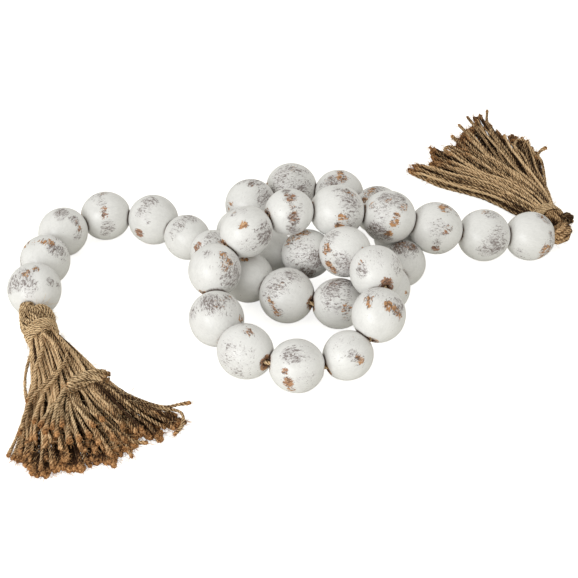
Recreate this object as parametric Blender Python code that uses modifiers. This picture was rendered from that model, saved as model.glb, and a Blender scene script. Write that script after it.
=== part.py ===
"""Wood bead garland with two jute tassels, lying in a loose coil on a table.

Turned wooden balls are threaded on one jute string. The string crosses the table
from the left tassel, winds about two and a half turns on itself, each turn resting
on the one before, and runs out to the right tassel, which is folded back.

Metres, +Z up, the table at z = 0, the footprint centred on the origin.
"""

import math
import random

import bmesh
import bpy
from mathutils import Matrix, Vector

MM = 0.001
UP = Vector((0, 0, 1))

# Three sizes of turned ball, and the order in which they are threaded.
BEAD_RADIUS = {"S": 18.5 * MM, "M": 20.0 * MM, "L": 21.0 * MM}
BEAD_ORDER = "LMMMMSSMLMMSSMMLLSSMMMMSMLLMMSLLLLM"
BEAD_STEPS = 14
BEAD_ARC_STEPS = 7
FLAT_DEPTH = 0.6 * MM

STRING_RADIUS = 1.6 * MM
BORE_RADIUS = 2.5 * MM
# How far inside each ball the string bends, where a worn bore lets it turn.
BEND_DEPTH = 4.0 * MM
# The play between neighbours on the string, and the gap between pieces that touch.
PLAY = 0.5 * MM
GAP = 0.3 * MM

# The string's route from the left tassel to the right one, in millimetres:
# x, y and the height of the string above the table, chosen by hand.
ROUTE = [
    (-200, -30, 20),
    (-187, 51, 20),
    (-154, 75, 20),
    (-114, 71, 20),
    (-84, 46, 18),
    (-61, 17, 24),
    (-33, -10, 20),
    (0, -37, 21),
    (40, -43, 20),
    (77, -25, 20),
    (92, 11, 18),
    (89, 48, 19),
    (75, 85, 20),
    (42, 110, 20),
    (2, 117, 20),
    (-33, 93, 21),
    (-42, 54, 19),
    (-16, 28, 20),
    (15, 5, 32),
    (44, -16, 48),
    (66, -49, 54),
    (68, -88, 43),
    (44, -108, 19),
    (6, -120, 20),
    (-33, -104, 21),
    (-55, -66, 21),
    (-58, -32, 44),
    (-33, -5, 61),
    (1, 14, 66),
    (39, 24, 60),
    (80, 27, 52),
    (121, 31, 38),
    (160, 42, 25),
    (206, 46, 20),
]
ROUTE_STEPS = 24
ON_TABLE = 3 * MM
SETTLE_ROUNDS = 400
AIM_ROUNDS = 30
TABLE_SIZE = (1.2, 1.2, 0.1)

# Each tassel is a hank of jute doubled over the string's end, bound, and fanned out
# on the table. Lengths are in millimetres and angles in degrees from +X. The neck's
# rows and the fan's apex are measured from the centre of the bead beside it.
NECK_COLUMNS = ("dx", "dy", "z", "half_width", "half_height")
LEFT_TASSEL = {
    "name": "left",
    "neck": [
        (-1.5, -22.4, 19.6, 5.2, 5.0),
        (-0.8, -25.4, 18.9, 9.2, 7.8),
        (1.5, -28.0, 16.6, 13.5, 12.0),
        (3.6, -31.0, 14.8, 13.8, 13.0),
    ],
    "apex": (3, -28),
    "waist": (8.0, 24.0),
    "root_angles": (-46, -87),
    "tip_angles": (-34, -91),
    "shoulder": 65,
    "reach": (151, 166, 171, 165, 144),
}
RIGHT_TASSEL = {
    "name": "right",
    "neck": [
        (21.5, 0.0, 19.4, 3.2, 3.2),
        (24.4, 0.6, 18.8, 4.8, 4.8),
        (26.8, 5.0, 16.2, 5.8, 6.0),
        (27.0, 11.5, 14.0, 8.0, 8.5),
        (24.0, 21.0, 13.4, 10.5, 11.0),
        (18.0, 30.5, 13.8, 11.8, 12.0),
    ],
    "apex": (20, 14),
    "waist": (28.0, 44.0),
    "root_angles": (93, 128),
    "tip_angles": (84, 137),
    "shoulder": 74,
    "reach": (146, 214, 194, 176, 160),
}

WAIST_RADII = (11.5 * MM, 9.8 * MM)
HANK_POINTS = 20
FLUTE = 0.06
# The shoulder between waist and fan: share of its length, half height in millimetres,
# and how boxy its outline is. It is a little wider than the strands' own spread.
SHOULDER_ROWS = ((0.15, 10.6, 2.4), (0.55, 9.0, 3.2), (1.0, 7.3, 5.0))
SHOULDER_MARGIN = 1.5

STRAND_WIDTH = 2.8 * MM
STRAND_HEIGHT = 2.6 * MM
STRANDS_PER_LAYER = 13
# Each layer's height above the table where it leaves the shoulder and at its tips.
LAYER_HEIGHTS = ((1.3 * MM, 1.3 * MM), (4.8 * MM, 1.3 * MM), (8.3 * MM, 4.8 * MM))
LAYER_DROP_FROM = 122 * MM
ROOT_DEPTH = 10 * MM
STRAND_STOPS = (0.0, 0.3, 0.55, 0.78, 0.93, 1.0)
REACH_SCATTER = 5 * MM

BINDING_TURNS = 6
BINDING_STEPS = 16
BINDING_INSET = 1 * MM
TWINE = 2.6 * MM
TWINE_VALLEY = 0.6
BINDING_CLEARANCE = 0.6 * MM

# The thick loose end that lies over the left fan, from the bead beside the tassel:
# dx, dy, z and radius in millimetres.
TAIL_ROWS = [
    (32, -115, 12.4, 2.0),
    (41, -106, 13.8, 3.4),
    (52, -98, 14.8, 4.4),
    (63, -92, 15.0, 4.6),
    (68, -90, 14.4, 3.6),
]

MATERIALS = {
    "painted_wood": ((0.80, 0.79, 0.76), 0.45),
    "jute_string": ((0.42, 0.27, 0.14), 0.90),
    "jute_tassel": ((0.36, 0.24, 0.13), 0.92),
    "jute_twine": ((0.45, 0.31, 0.17), 0.90),
}


def clear_scene():
    for obj in list(bpy.data.objects):
        bpy.data.objects.remove(obj, do_unlink=True)


def new_collection(name):
    collection = bpy.data.collections.new(name)
    bpy.context.scene.collection.children.link(collection)
    return collection


def make_material(name, colour, roughness):
    material = bpy.data.materials.new(name)
    material.use_nodes = True
    shader = material.node_tree.nodes["Principled BSDF"]
    shader.inputs["Base Color"].default_value = (*colour, 1)
    shader.inputs["Roughness"].default_value = roughness
    shader.inputs["Metallic"].default_value = 0
    material.diffuse_color = (*colour, 1)
    return material


def smooth_route(points, steps):
    """Points along a Catmull-Rom curve through the given ones."""
    ends = [2 * points[0] - points[1], *points, 2 * points[-1] - points[-2]]
    dense = []
    for before, start, end, after in zip(ends, ends[1:], ends[2:], ends[3:]):
        for step in range(steps):
            t = step / steps
            dense.append(0.5 * (
                2 * start
                + (end - before) * t
                + (2 * before - 5 * start + 4 * end - after) * t ** 2
                + (3 * start - before - 3 * end + after) * t ** 3
            ))
    dense.append(points[-1].copy())
    return dense


def thread_beads(route, radii):
    """Bead centres along the route, each touching the one before it."""
    centres = [route[0].copy()]
    index = 1
    for previous, radius in zip(radii, radii[1:]):
        spacing = previous + radius + PLAY
        while index < len(route) - 1 and (route[index] - centres[-1]).length < spacing:
            index += 1
        heading = (route[index] - centres[-1]).normalized()
        centres.append(centres[-1] + heading * spacing)
    return centres


def push_apart(centres, i, j, shift):
    heading = (centres[j] - centres[i]).normalized()
    centres[i] -= heading * shift / 2
    centres[j] += heading * shift / 2


def settle(centres, radii):
    """Let the turns rest on each other: no bead cuts into another or the table."""
    seated = [centre.z < radius + ON_TABLE for centre, radius in zip(centres, radii)]
    count = len(centres)
    for _ in range(SETTLE_ROUNDS):
        for i in range(count - 1):
            spacing = radii[i] + radii[i + 1] + PLAY
            push_apart(centres, i, i + 1, spacing - (centres[i + 1] - centres[i]).length)
            for j in range(i + 2, count):
                overlap = radii[i] + radii[j] + GAP - (centres[j] - centres[i]).length
                if overlap > 0:
                    push_apart(centres, i, j, overlap)
        for i, radius in enumerate(radii):
            table = radius - FLAT_DEPTH
            centres[i].z = table if seated[i] else max(centres[i].z, table)
    return seated


def bore_axes(centres, start, end, mouths):
    """The bore directions that let the string run as straight as it can."""
    count = len(centres)
    stops = [start, *centres, end]
    axes = [(stops[i + 2] - stops[i]).normalized() for i in range(count)]
    for _ in range(AIM_ROUNDS):
        for i, centre in enumerate(centres):
            before = start if i == 0 else centres[i - 1] + axes[i - 1] * mouths[i - 1]
            after = end if i == count - 1 else centres[i + 1] - axes[i + 1] * mouths[i + 1]
            axes[i] = ((centre - before).normalized() + (after - centre).normalized()).normalized()
    return axes


def ball_profile(radius):
    """Half a circle at +X, from the top of the ball to its foot."""
    angles = [math.pi * step / BEAD_ARC_STEPS for step in range(BEAD_ARC_STEPS + 1)]
    return [(radius * abs(math.sin(angle)), radius * math.cos(angle)) for angle in angles]


def profile_mesh(name, points, closed):
    mesh = bpy.data.meshes.new(name)
    bm = bmesh.new()
    verts = [bm.verts.new((x, 0, z)) for x, z in points]
    for first, second in zip(verts, verts[1:]):
        bm.edges.new((first, second))
    if closed:
        bm.edges.new((verts[-1], verts[0]))
    bm.to_mesh(mesh)
    bm.free()
    return mesh


def turn(obj, steps):
    """Turn a half section about the object's Z axis."""
    screw = obj.modifiers.new("turn", "SCREW")
    screw.axis = "Z"
    screw.angle = math.tau
    screw.steps = steps
    screw.render_steps = steps
    screw.use_merge_vertices = True
    screw.merge_threshold = 0.00001
    screw.use_smooth_shade = True


def lying_frame(axis, centre):
    """A placement with local Z along the axis and local X as near down as it can be."""
    down = (-UP - axis * (-UP).dot(axis)).normalized()
    side = axis.cross(down)
    return Matrix.Translation(centre) @ Matrix((down, side, axis)).transposed().to_4x4()


def add_object(name, data, collection, material):
    obj = bpy.data.objects.new(name, data)
    if material:
        data.materials.append(material)
    collection.objects.link(obj)
    return obj


def cut(obj, name, cutter):
    difference = obj.modifiers.new(name, "BOOLEAN")
    difference.operation = "DIFFERENCE"
    difference.object = cutter


def add_beads(centres, axes, seated, drill, table, collection, material):
    """Turned balls, drilled along the string's line and flat where they rest."""
    profiles = {}
    for size, radius in BEAD_RADIUS.items():
        profiles[size] = profile_mesh(f"bead_{size}", ball_profile(radius), closed=False)
        profiles[size].materials.append(material)
    for i, size in enumerate(BEAD_ORDER):
        bead = bpy.data.objects.new(f"bead_{i + 1:02d}", profiles[size])
        collection.objects.link(bead)
        bead.matrix_world = lying_frame(axes[i], centres[i])
        turn(bead, BEAD_STEPS)
        cut(bead, "bore", drill)
        if seated[i]:
            cut(bead, "flat_spot", table)


def add_cutter(name, mesh, collection):
    cutter = bpy.data.objects.new(name, mesh)
    cutter.hide_render = True
    cutter.display_type = "WIRE"
    collection.objects.link(cutter)
    return cutter


def add_table_cutter(collection):
    """A slab below z = 0 that gives each bead on the table its small flat spot."""
    mesh = bpy.data.meshes.new("under_table")
    bm = bmesh.new()
    bmesh.ops.create_cube(bm, size=1)
    bm.to_mesh(mesh)
    bm.free()
    cutter = add_cutter("under_table", mesh, collection)
    cutter.scale = TABLE_SIZE
    cutter.location = (0, 0, -TABLE_SIZE[2] / 2)
    return cutter


def add_tube(name, points, radii, collection, material):
    """A round tube through the points, with its own radius at each."""
    curve = bpy.data.curves.new(name, "CURVE")
    curve.dimensions = "3D"
    curve.bevel_depth = 1
    curve.bevel_resolution = 2
    curve.use_fill_caps = True
    spline = curve.splines.new("POLY")
    spline.points.add(len(points) - 1)
    for point, place, radius in zip(spline.points, points, radii):
        point.co = (*place, 1)
        point.radius = radius
    return add_object(name, curve, collection, material)


def add_drill(points, collection):
    """The string's own line, wider than the string, as the cutter of every bore."""
    path = add_tube("drill_path", points, [BORE_RADIUS] * len(points), collection, None)
    bpy.context.view_layer.update()
    tube = path.evaluated_get(bpy.context.evaluated_depsgraph_get())
    mesh = bpy.data.meshes.new_from_object(tube)
    bpy.data.objects.remove(path, do_unlink=True)
    bm = bmesh.new()
    bm.from_mesh(mesh)
    bmesh.ops.remove_doubles(bm, verts=bm.verts, dist=0.01 * MM)
    bmesh.ops.recalc_face_normals(bm, faces=bm.faces)
    bm.to_mesh(mesh)
    bm.free()
    return add_cutter("drill", mesh, collection)


def string_points(centres, axes, mouths, start, end):
    """The string lies on each bore's axis and runs straight from bead to bead."""
    points = [start]
    for centre, axis, mouth in zip(centres, axes, mouths):
        points.append(centre - axis * mouth)
        points.append(centre + axis * mouth)
    points.append(end)
    return points


def rounded_box(points, boxiness):
    """Unit outline between a circle (2) and a square (large), with fine flutes."""
    outline = []
    for k in range(points):
        angle = math.tau * k / points
        flute = 1 - FLUTE * (k % 2)
        x, y = math.cos(angle), math.sin(angle)
        power = 2 / boxiness
        outline.append((
            flute * math.copysign(abs(x) ** power, x),
            flute * math.copysign(abs(y) ** power, y),
        ))
    return outline


def loft(bm, centres, outlines, sizes):
    """Close a skin over outlines that stand across the line of centres."""
    rings = []
    for i, centre in enumerate(centres):
        before = centres[max(i - 1, 0)]
        after = centres[min(i + 1, len(centres) - 1)]
        heading = (after - before).normalized()
        side = heading.cross(UP).normalized()
        rise = side.cross(heading)
        half_width, half_height = sizes[i]
        rings.append([
            bm.verts.new(centre + side * x * half_width + rise * y * half_height)
            for x, y in outlines[i]
        ])
    for ring, following in zip(rings, rings[1:]):
        for k in range(len(ring)):
            after = (k + 1) % len(ring)
            bm.faces.new((ring[k], following[k], following[after], ring[after]))
    bm.faces.new(rings[0])
    bm.faces.new(reversed(rings[-1]))


def heading_at(degrees):
    angle = math.radians(degrees)
    return Vector((math.cos(angle), math.sin(angle), 0))


def between(values, t):
    """Read an evenly spaced row of values at t from 0 to 1."""
    place = t * (len(values) - 1)
    index = min(int(place), len(values) - 2)
    return values[index] + (values[index + 1] - values[index]) * (place - index)


def waist_line(spec, bead):
    """Start and end of the bound waist, low enough for its binding to touch the table."""
    apex = bead + Vector((*spec["apex"], 0)) * MM
    middle = heading_at(sum(spec["root_angles"]) / 2)
    ends = []
    for distance, radius in zip(spec["waist"], WAIST_RADII):
        place = apex + middle * distance * MM
        place.z = radius + BINDING_CLEARANCE + TWINE + GAP / 2
        ends.append(place)
    return ends


def add_hank(bm, spec, bead):
    """The doubled hank: neck, bulb, bound waist and the shoulder that spreads to the fan."""
    centres, outlines, sizes = [], [], []
    for row in spec["neck"]:
        cell = dict(zip(NECK_COLUMNS, row))
        centres.append(Vector((bead.x + cell["dx"] * MM, bead.y + cell["dy"] * MM, cell["z"] * MM)))
        outlines.append(rounded_box(HANK_POINTS, 2))
        sizes.append((cell["half_width"] * MM, cell["half_height"] * MM))
    for place, radius in zip(waist_line(spec, bead), WAIST_RADII):
        centres.append(place)
        outlines.append(rounded_box(HANK_POINTS, 2))
        sizes.append((radius, radius))
    apex = bead + Vector((*spec["apex"], 0)) * MM
    first, last = spec["root_angles"]
    middle = heading_at((first + last) / 2)
    spread = math.tan(math.radians(abs(last - first) / 2))
    waist_end = spec["waist"][1]
    for share, half_height, boxiness in SHOULDER_ROWS:
        distance = waist_end + (spec["shoulder"] - waist_end) * share
        place = apex + middle * distance * MM
        place.z = half_height * MM + GAP / 2
        centres.append(place)
        outlines.append(rounded_box(HANK_POINTS, boxiness))
        sizes.append(((distance * spread + SHOULDER_MARGIN) * MM, half_height * MM))
    loft(bm, centres, outlines, sizes)


def strand_centres(spec, bead, t, layer, scatter):
    """One strand of the fan, from inside the shoulder to its tip on the table."""
    apex = bead + Vector((*spec["apex"], 0)) * MM
    root_angle = between(spec["root_angles"], t)
    tip_angle = between(spec["tip_angles"], t)
    shoulder = spec["shoulder"] * MM
    root = shoulder - ROOT_DEPTH
    reach = between(spec["reach"], t) * MM + scatter
    high, low = LAYER_HEIGHTS[layer]
    centres = []
    for stop in STRAND_STOPS:
        distance = root + (reach - root) * stop
        bend = max(distance - shoulder, 0) / (reach - shoulder)
        drop = min(max((distance - LAYER_DROP_FROM) / (reach - LAYER_DROP_FROM), 0), 1)
        place = apex + heading_at(root_angle + (tip_angle - root_angle) * bend) * distance
        place.z = high + (low - high) * drop
        centres.append(place)
    return centres


def add_strands(bm, spec, bead):
    chance = random.Random(len(spec["name"]))
    square = [(1, 1), (-1, 1), (-1, -1), (1, -1)]
    sizes = [(STRAND_WIDTH / 2, STRAND_HEIGHT / 2)] * len(STRAND_STOPS)
    for layer in range(len(LAYER_HEIGHTS)):
        odd = layer % 2
        for index in range(STRANDS_PER_LAYER - odd):
            t = (index + 0.5 + 0.5 * odd) / STRANDS_PER_LAYER
            scatter = chance.uniform(-REACH_SCATTER, REACH_SCATTER)
            centres = strand_centres(spec, bead, t, layer, scatter)
            loft(bm, centres, [square] * len(centres), sizes)


def mesh_object(name, fill, collection, material):
    """A mesh object whose bmesh is filled by the given function."""
    bm = bmesh.new()
    fill(bm)
    bmesh.ops.recalc_face_normals(bm, faces=bm.faces)
    mesh = bpy.data.meshes.new(name)
    bm.to_mesh(mesh)
    bm.free()
    return add_object(name, mesh, collection, material)


def add_tassel(spec, bead, collection, cutters, material):
    name = f"tassel_{spec['name']}"
    hank = mesh_object(name, lambda bm: add_hank(bm, spec, bead), collection, material)
    fan = mesh_object(f"{name}_fan", lambda bm: add_strands(bm, spec, bead), cutters, material)
    fan.hide_render = True
    fan.display_type = "WIRE"
    fuse = hank.modifiers.new("fuse_roots", "BOOLEAN")
    fuse.operation = "UNION"
    fuse.object = fan
    return hank


def add_binding(spec, bead, collection, material):
    """The wound twine around the waist, one ridge to a turn."""
    start, end = waist_line(spec, bead)
    length = (end - start).length - 2 * BINDING_INSET
    inner = [radius + BINDING_CLEARANCE for radius in WAIST_RADII]
    stops = 2 * BINDING_TURNS
    outer = []
    for stop in range(stops + 1):
        share = stop / stops
        ridge = TWINE if stop % 2 else TWINE_VALLEY * TWINE
        outer.append((between(inner, share) + ridge, length * (0.5 - share)))
    points = [*outer, (inner[1], -length / 2), (inner[0], length / 2)]
    name = f"binding_{spec['name']}"
    binding = add_object(name, profile_mesh(name, points, closed=True), collection, material)
    binding.matrix_world = lying_frame((start - end).normalized(), (start + end) / 2)
    turn(binding, BINDING_STEPS)


def neck_end(spec, bead):
    """Where the string meets the hank: just short of the neck's tilted first outline."""
    dx, dy, z = spec["neck"][0][:3]
    place = Vector((bead.x + dx * MM, bead.y + dy * MM, z * MM))
    return place + (bead - place).normalized() * 3 * GAP


def centre_footprint(collection):
    """Move the garland so that its box stands centred on the origin."""
    bpy.context.view_layer.update()
    depsgraph = bpy.context.evaluated_depsgraph_get()
    corners = []
    for obj in collection.objects:
        solid = obj.evaluated_get(depsgraph)
        corners.extend(solid.matrix_world @ Vector(corner) for corner in solid.bound_box)
    low = Vector([min(corner[axis] for corner in corners) for axis in range(3)])
    high = Vector([max(corner[axis] for corner in corners) for axis in range(3)])
    shift = Matrix.Translation((-(low.x + high.x) / 2, -(low.y + high.y) / 2, 0))
    for obj in bpy.data.objects:
        obj.matrix_world = shift @ obj.matrix_world


def main():
    clear_scene()
    garland = new_collection("wood_bead_garland")
    cutters = new_collection("cutters")
    materials = {
        name: make_material(name, colour, roughness)
        for name, (colour, roughness) in MATERIALS.items()
    }

    radii = [BEAD_RADIUS[size] for size in BEAD_ORDER]
    route = smooth_route([Vector(point) * MM for point in ROUTE], ROUTE_STEPS)
    centres = thread_beads(route, radii)
    seated = settle(centres, radii)

    start = neck_end(LEFT_TASSEL, centres[0])
    end = neck_end(RIGHT_TASSEL, centres[-1])
    mouths = [radius - BEND_DEPTH for radius in radii]
    axes = bore_axes(centres, start, end, mouths)
    points = string_points(centres, axes, mouths, start, end)
    drill = add_drill(points, cutters)
    table = add_table_cutter(cutters)
    add_beads(centres, axes, seated, drill, table, garland, materials["painted_wood"])
    add_tube("string", points, [STRING_RADIUS] * len(points), garland, materials["jute_string"])

    for spec, bead in ((LEFT_TASSEL, centres[0]), (RIGHT_TASSEL, centres[-1])):
        flat_bead = Vector((bead.x, bead.y, 0))
        add_tassel(spec, flat_bead, garland, cutters, materials["jute_tassel"])
        add_binding(spec, flat_bead, garland, materials["jute_twine"])

    beside = Vector((centres[0].x, centres[0].y, 0))
    tail = [beside + Vector(row[:3]) * MM for row in TAIL_ROWS]
    add_tube("tail_left", tail, [row[3] * MM for row in TAIL_ROWS], garland, materials["jute_tassel"])

    centre_footprint(garland)


main()
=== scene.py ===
# %% [markdown]
# # A wood bead garland with jute tassels
#
# The real thing is a length of jute string with turned wooden balls threaded on it.
# The balls are painted off-white and sanded back in places, so that bare wood and a
# grey smear of old paint show. Each end of the string carries a tassel of jute.
#
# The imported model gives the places: one node for each ball, one for the string, and a
# plain solid for each tassel and its binding. This script dresses them. It works in
# metres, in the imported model's own frame, and the sizes below are real ones. Only the
# table of worn patches is read off the photo, in pixels.

# %% Load the frame
import math
import random

import bmesh
import bpy
import numpy as np
from mathutils import Matrix, Vector, noise


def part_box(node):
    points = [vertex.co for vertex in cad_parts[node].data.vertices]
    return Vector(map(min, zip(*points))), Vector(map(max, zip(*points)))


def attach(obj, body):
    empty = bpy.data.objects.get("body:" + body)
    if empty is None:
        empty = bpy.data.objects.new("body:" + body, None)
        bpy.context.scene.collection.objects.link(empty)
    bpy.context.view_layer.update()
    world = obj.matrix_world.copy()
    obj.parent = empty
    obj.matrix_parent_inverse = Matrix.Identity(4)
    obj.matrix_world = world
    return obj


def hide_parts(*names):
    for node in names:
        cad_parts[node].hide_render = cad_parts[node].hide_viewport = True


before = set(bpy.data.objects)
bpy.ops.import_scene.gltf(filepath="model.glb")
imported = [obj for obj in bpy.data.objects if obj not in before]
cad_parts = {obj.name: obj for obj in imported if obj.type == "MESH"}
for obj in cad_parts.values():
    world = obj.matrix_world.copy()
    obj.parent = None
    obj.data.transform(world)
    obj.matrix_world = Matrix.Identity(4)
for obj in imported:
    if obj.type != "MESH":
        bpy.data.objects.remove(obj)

MM = 0.001
UP = Vector((0, 0, 1))
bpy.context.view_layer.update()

# %% [markdown]
# ## Balls and their bores
#
# The balls' places could be typed in here again, but reading them from the imported nodes
# keeps the two from drifting apart. A node is a faceted, drilled ball. Its box is as wide
# on one side of the centre as on the other, so the middle of the box is the ball's
# centre. Only the balls on the table differ: they have a small flat spot, so their box
# ends at the table.
#
# The string has play, so a few balls lie a millimetre or three from their packed places
# when they are held against the photo. Those are nudged here.

# %% Read the balls' places
BALL_RADIUS = {"S": 18.5 * MM, "M": 20.0 * MM, "L": 21.0 * MM}
BALL_ORDER = "LMMMMSSMLMMSSMMLLSSMMMMSMLLMMSLLLLM"
FLAT_DEPTH = 0.6 * MM

radii = [BALL_RADIUS[size] for size in BALL_ORDER]
ball_nodes = [f"bead_{i + 1:02d}" for i in range(len(radii))]


def ball_centre(node, radius):
    low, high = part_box(node)
    centre = (low + high) / 2
    if low.z < FLAT_DEPTH / 2:
        centre.z = radius - FLAT_DEPTH
    return centre


NUDGES = {
    1: (-0.5, 1.5, 0.5), 2: (-2, 1.5, 0), 3: (0, 1.5, 0), 4: (0.5, 1.5, 0), 5: (0.5, 0, 0),
    6: (0, 0, 1), 9: (-1, 0.5, 0.5), 10: (-1.5, -1, 0), 11: (-1, -0.5, 0), 17: (0.5, -1, 0),
    22: (1, 1.5, 0), 23: (0.5, 2, -0.5), 24: (1, 0, 2), 25: (0, -0.5, 0), 27: (-1.5, -0.5, 2.5),
    28: (0, 1, -1), 33: (-1, 0, 0), 34: (0.5, -3, 0.5), 35: (-1, 1, 0),
}

packed_centres = [ball_centre(node, radius) for node, radius in zip(ball_nodes, radii)]
centres = [
    centre + Vector(NUDGES.get(i + 1, (0, 0, 0))) * MM for i, centre in enumerate(packed_centres)
]
print("balls:", len(centres), "highest centre, mm:", round(max(c.z for c in centres) / MM, 1))

# %% [markdown]
# The string leaves each ball by its bore and goes straight to the next one, so a ball
# turns until its bore lies halfway between the string's two directions. Each ball's
# turn changes what its neighbours see, so the aim is repeated until it settles.

# %% Aim the bores
BEND_DEPTH = 4.0 * MM
AIM_ROUNDS = 30
LEFT_NECK = packed_centres[0] + Vector((-1.5, -22.4, -0.8)) * MM
RIGHT_NECK = packed_centres[-1] + Vector((21.5, 0, -0.1)) * MM


def aim_bores(centres, mouths, start, end):
    stops = [start, *centres, end]
    axes = [(after - before).normalized() for before, after in zip(stops, stops[2:])]
    for _ in range(AIM_ROUNDS):
        for i, centre in enumerate(centres):
            before = start if i == 0 else centres[i - 1] + axes[i - 1] * mouths[i - 1]
            after = end if i == len(centres) - 1 else centres[i + 1] - axes[i + 1] * mouths[i + 1]
            axes[i] = ((centre - before).normalized() + (after - centre).normalized()).normalized()
    return axes


mouths = [radius - BEND_DEPTH for radius in radii]
bores = aim_bores(centres, mouths, LEFT_NECK, RIGHT_NECK)
sharpest = max(a.angle(b) for a, b in zip(bores, bores[1:]))
print("sharpest turn between two balls, degrees:", round(math.degrees(sharpest)))

# %% [markdown]
# ## The camera
#
# The photo looks down on the table at about 37 degrees with a long lens, from the side
# that the left tassel points to. The aim is given from the tenth ball, which lies on the
# table in the middle of the pile, so that it stays right if the garland moves.

# %% Place the camera
CAMERA_ELEVATION = math.radians(37.3)
CAMERA_DISTANCE = 1296 * MM
CAMERA_LENS = 99.7
CAMERA_REACH = 10
AIM_FROM_TENTH_BALL = Vector((-40.3, 43.2, -19.4)) * MM

camera_data = bpy.data.cameras.new("camera")
camera_data.lens = CAMERA_LENS
camera = bpy.data.objects.new("camera", camera_data)
bpy.context.scene.collection.objects.link(camera)
toward_camera = Vector((0, -math.cos(CAMERA_ELEVATION), math.sin(CAMERA_ELEVATION)))
camera.location = packed_centres[9] + AIM_FROM_TENTH_BALL + toward_camera * CAMERA_DISTANCE
camera.rotation_euler = (math.pi / 2 - CAMERA_ELEVATION, 0, 0)
camera_data.clip_end = CAMERA_REACH
bpy.context.scene.camera = camera
bpy.context.scene.view_settings.view_transform = "Standard"
print("camera at, mm:", [round(v / MM) for v in camera.location])

# %% [markdown]
# ## Shader tools
#
# Materials are node trees. A few small helpers keep them short: one makes a material, one
# adds a node and sets its values, one joins sockets and one does sums.

# %% Node helpers


def new_material(name):
    material = bpy.data.materials.new(name)
    material.use_nodes = True
    return material, material.node_tree, material.node_tree.nodes["Principled BSDF"]


def add_node(tree, kind, **settings):
    """Add a node; a setting named after a socket sets that socket."""
    node = tree.nodes.new(kind)
    for name, value in settings.items():
        if hasattr(node, name):
            setattr(node, name, value)
        else:
            node.inputs[name].default_value = value
    return node


def join(tree, *pairs):
    for source, target in pairs:
        tree.links.new(source, target)


def add_math(tree, operation, first, second=0.0, clamp=False):
    """A Math node whose two inputs are sockets or plain numbers."""
    node = tree.nodes.new("ShaderNodeMath")
    node.operation = operation
    node.use_clamp = clamp
    for socket, value in zip(node.inputs, (first, second)):
        if isinstance(value, (int, float)):
            socket.default_value = value
        else:
            tree.links.new(value, socket)
    return node.outputs[0]


print("node helpers ready")

# %% [markdown]
# Three more helpers give tones and patterns: a colour ramp, which turns a number into a
# tone, a mix that lays one colour over another, and noise in a given place and size.

# %% Tone and noise helpers


def add_ramp(tree, factor, stops):
    """A ramp through (position, colour) stops, driven by the factor."""
    ramp = tree.nodes.new("ShaderNodeValToRGB")
    elements = ramp.color_ramp.elements
    while len(elements) < len(stops):
        elements.new(0.5)
    for element, (position, colour) in zip(elements, stops):
        element.position = position
        element.color = (*colour, 1)
    tree.links.new(factor, ramp.inputs["Fac"])
    return ramp.outputs["Color"]


def mix_colour(tree, factor, below, above, blend="MIX"):
    """Lay one colour over another; colours are sockets or plain tones."""
    node = tree.nodes.new("ShaderNodeMix")
    node.data_type = "RGBA"
    node.blend_type = blend
    tree.links.new(factor, node.inputs["Factor"])
    for name, value in (("A", below), ("B", above)):
        socket = next(s for s in node.inputs if s.name == name and s.type == "RGBA")
        if isinstance(value, tuple):
            socket.default_value = (*value, 1)
        else:
            tree.links.new(value, socket)
    return next(s for s in node.outputs if s.type == "RGBA")


def noise_on(tree, vector, scale, detail=3.0, roughness=0.5, stretch=(1, 1, 1), warp=0.0):
    """Noise of a given scale per metre, stretched on the vector's axes and warped."""
    mapping = add_node(tree, "ShaderNodeMapping", Scale=stretch)
    texture = add_node(
        tree, "ShaderNodeTexNoise", Scale=scale, Detail=detail, Roughness=roughness, Distortion=warp
    )
    join(tree, (vector, mapping.inputs["Vector"]), (mapping.outputs[0], texture.inputs["Vector"]))
    return texture.outputs["Fac"]


print("tone and noise helpers ready")

# %% [markdown]
# ## Worn paint
#
# The maker paints the balls, then sands them by hand and rubs a little dark wax in.
# What is left is mostly clean, satin paint with a faint grain from the brush. Where the
# sandpaper went there is a pinkish grey haze with short, wavy, dark strokes along the
# grain, and at its strongest ragged bits of brown wood show. The flat ends are always
# bare, because the string and the next ball rub there.
#
# Each ball could have a painted picture of its own, but one material that works from
# noise serves all the balls and stays sharp from near. The script gives each point of a
# ball its place on the ball as it turned on the lathe, and how far it is scuffed, bare,
# or near a bore. The material only has to break these soft masks up. It needs three ways
# to do so: a value sharpened above a level, the thin contour of a level, and sums of
# several noises.

# %% Mask helpers


def attribute(tree, name, output="Fac"):
    node = add_node(tree, "ShaderNodeAttribute")
    node.attribute_name = name
    return node.outputs[output]


def threshold(tree, value, level, sharpness):
    """How far a value lies above a level, sharpened and held between 0 and 1."""
    above = add_math(tree, "SUBTRACT", value, level)
    return add_math(tree, "MULTIPLY", above, sharpness, clamp=True)


def contour(tree, value, level, sharpness):
    """Thin, wavy lines where a noise passes through a level."""
    away = add_math(tree, "ABSOLUTE", add_math(tree, "SUBTRACT", value, level))
    return add_math(tree, "SUBTRACT", 1.0, add_math(tree, "MULTIPLY", away, sharpness), clamp=True)


def weighted_sum(tree, *terms):
    """Add up (socket, weight) terms."""
    total = None
    for socket, weight in terms:
        part = add_math(tree, "MULTIPLY", socket, weight)
        total = part if total is None else add_math(tree, "ADD", total, part)
    return total


print("mask helpers ready")

# %% [markdown]
# Noise that is drawn out along the bore's axis gives strokes that follow the grain, and
# a fine one gives dark specks. The brush left ridges in the paint: wax stays beside a
# ridge as a thin, wavy, dark line and is rubbed off its crest, so both are drawn as
# contours of one noise. One very slow noise is almost the same all over a ball, so it
# makes some balls' wood redder than others'.
#
# Each noise has its scale for a metre, its detail and roughness, its stretch and its
# warp. Each mask is a sum of noises and of how scuffed or bare the place is, cut off at
# a level.

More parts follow.
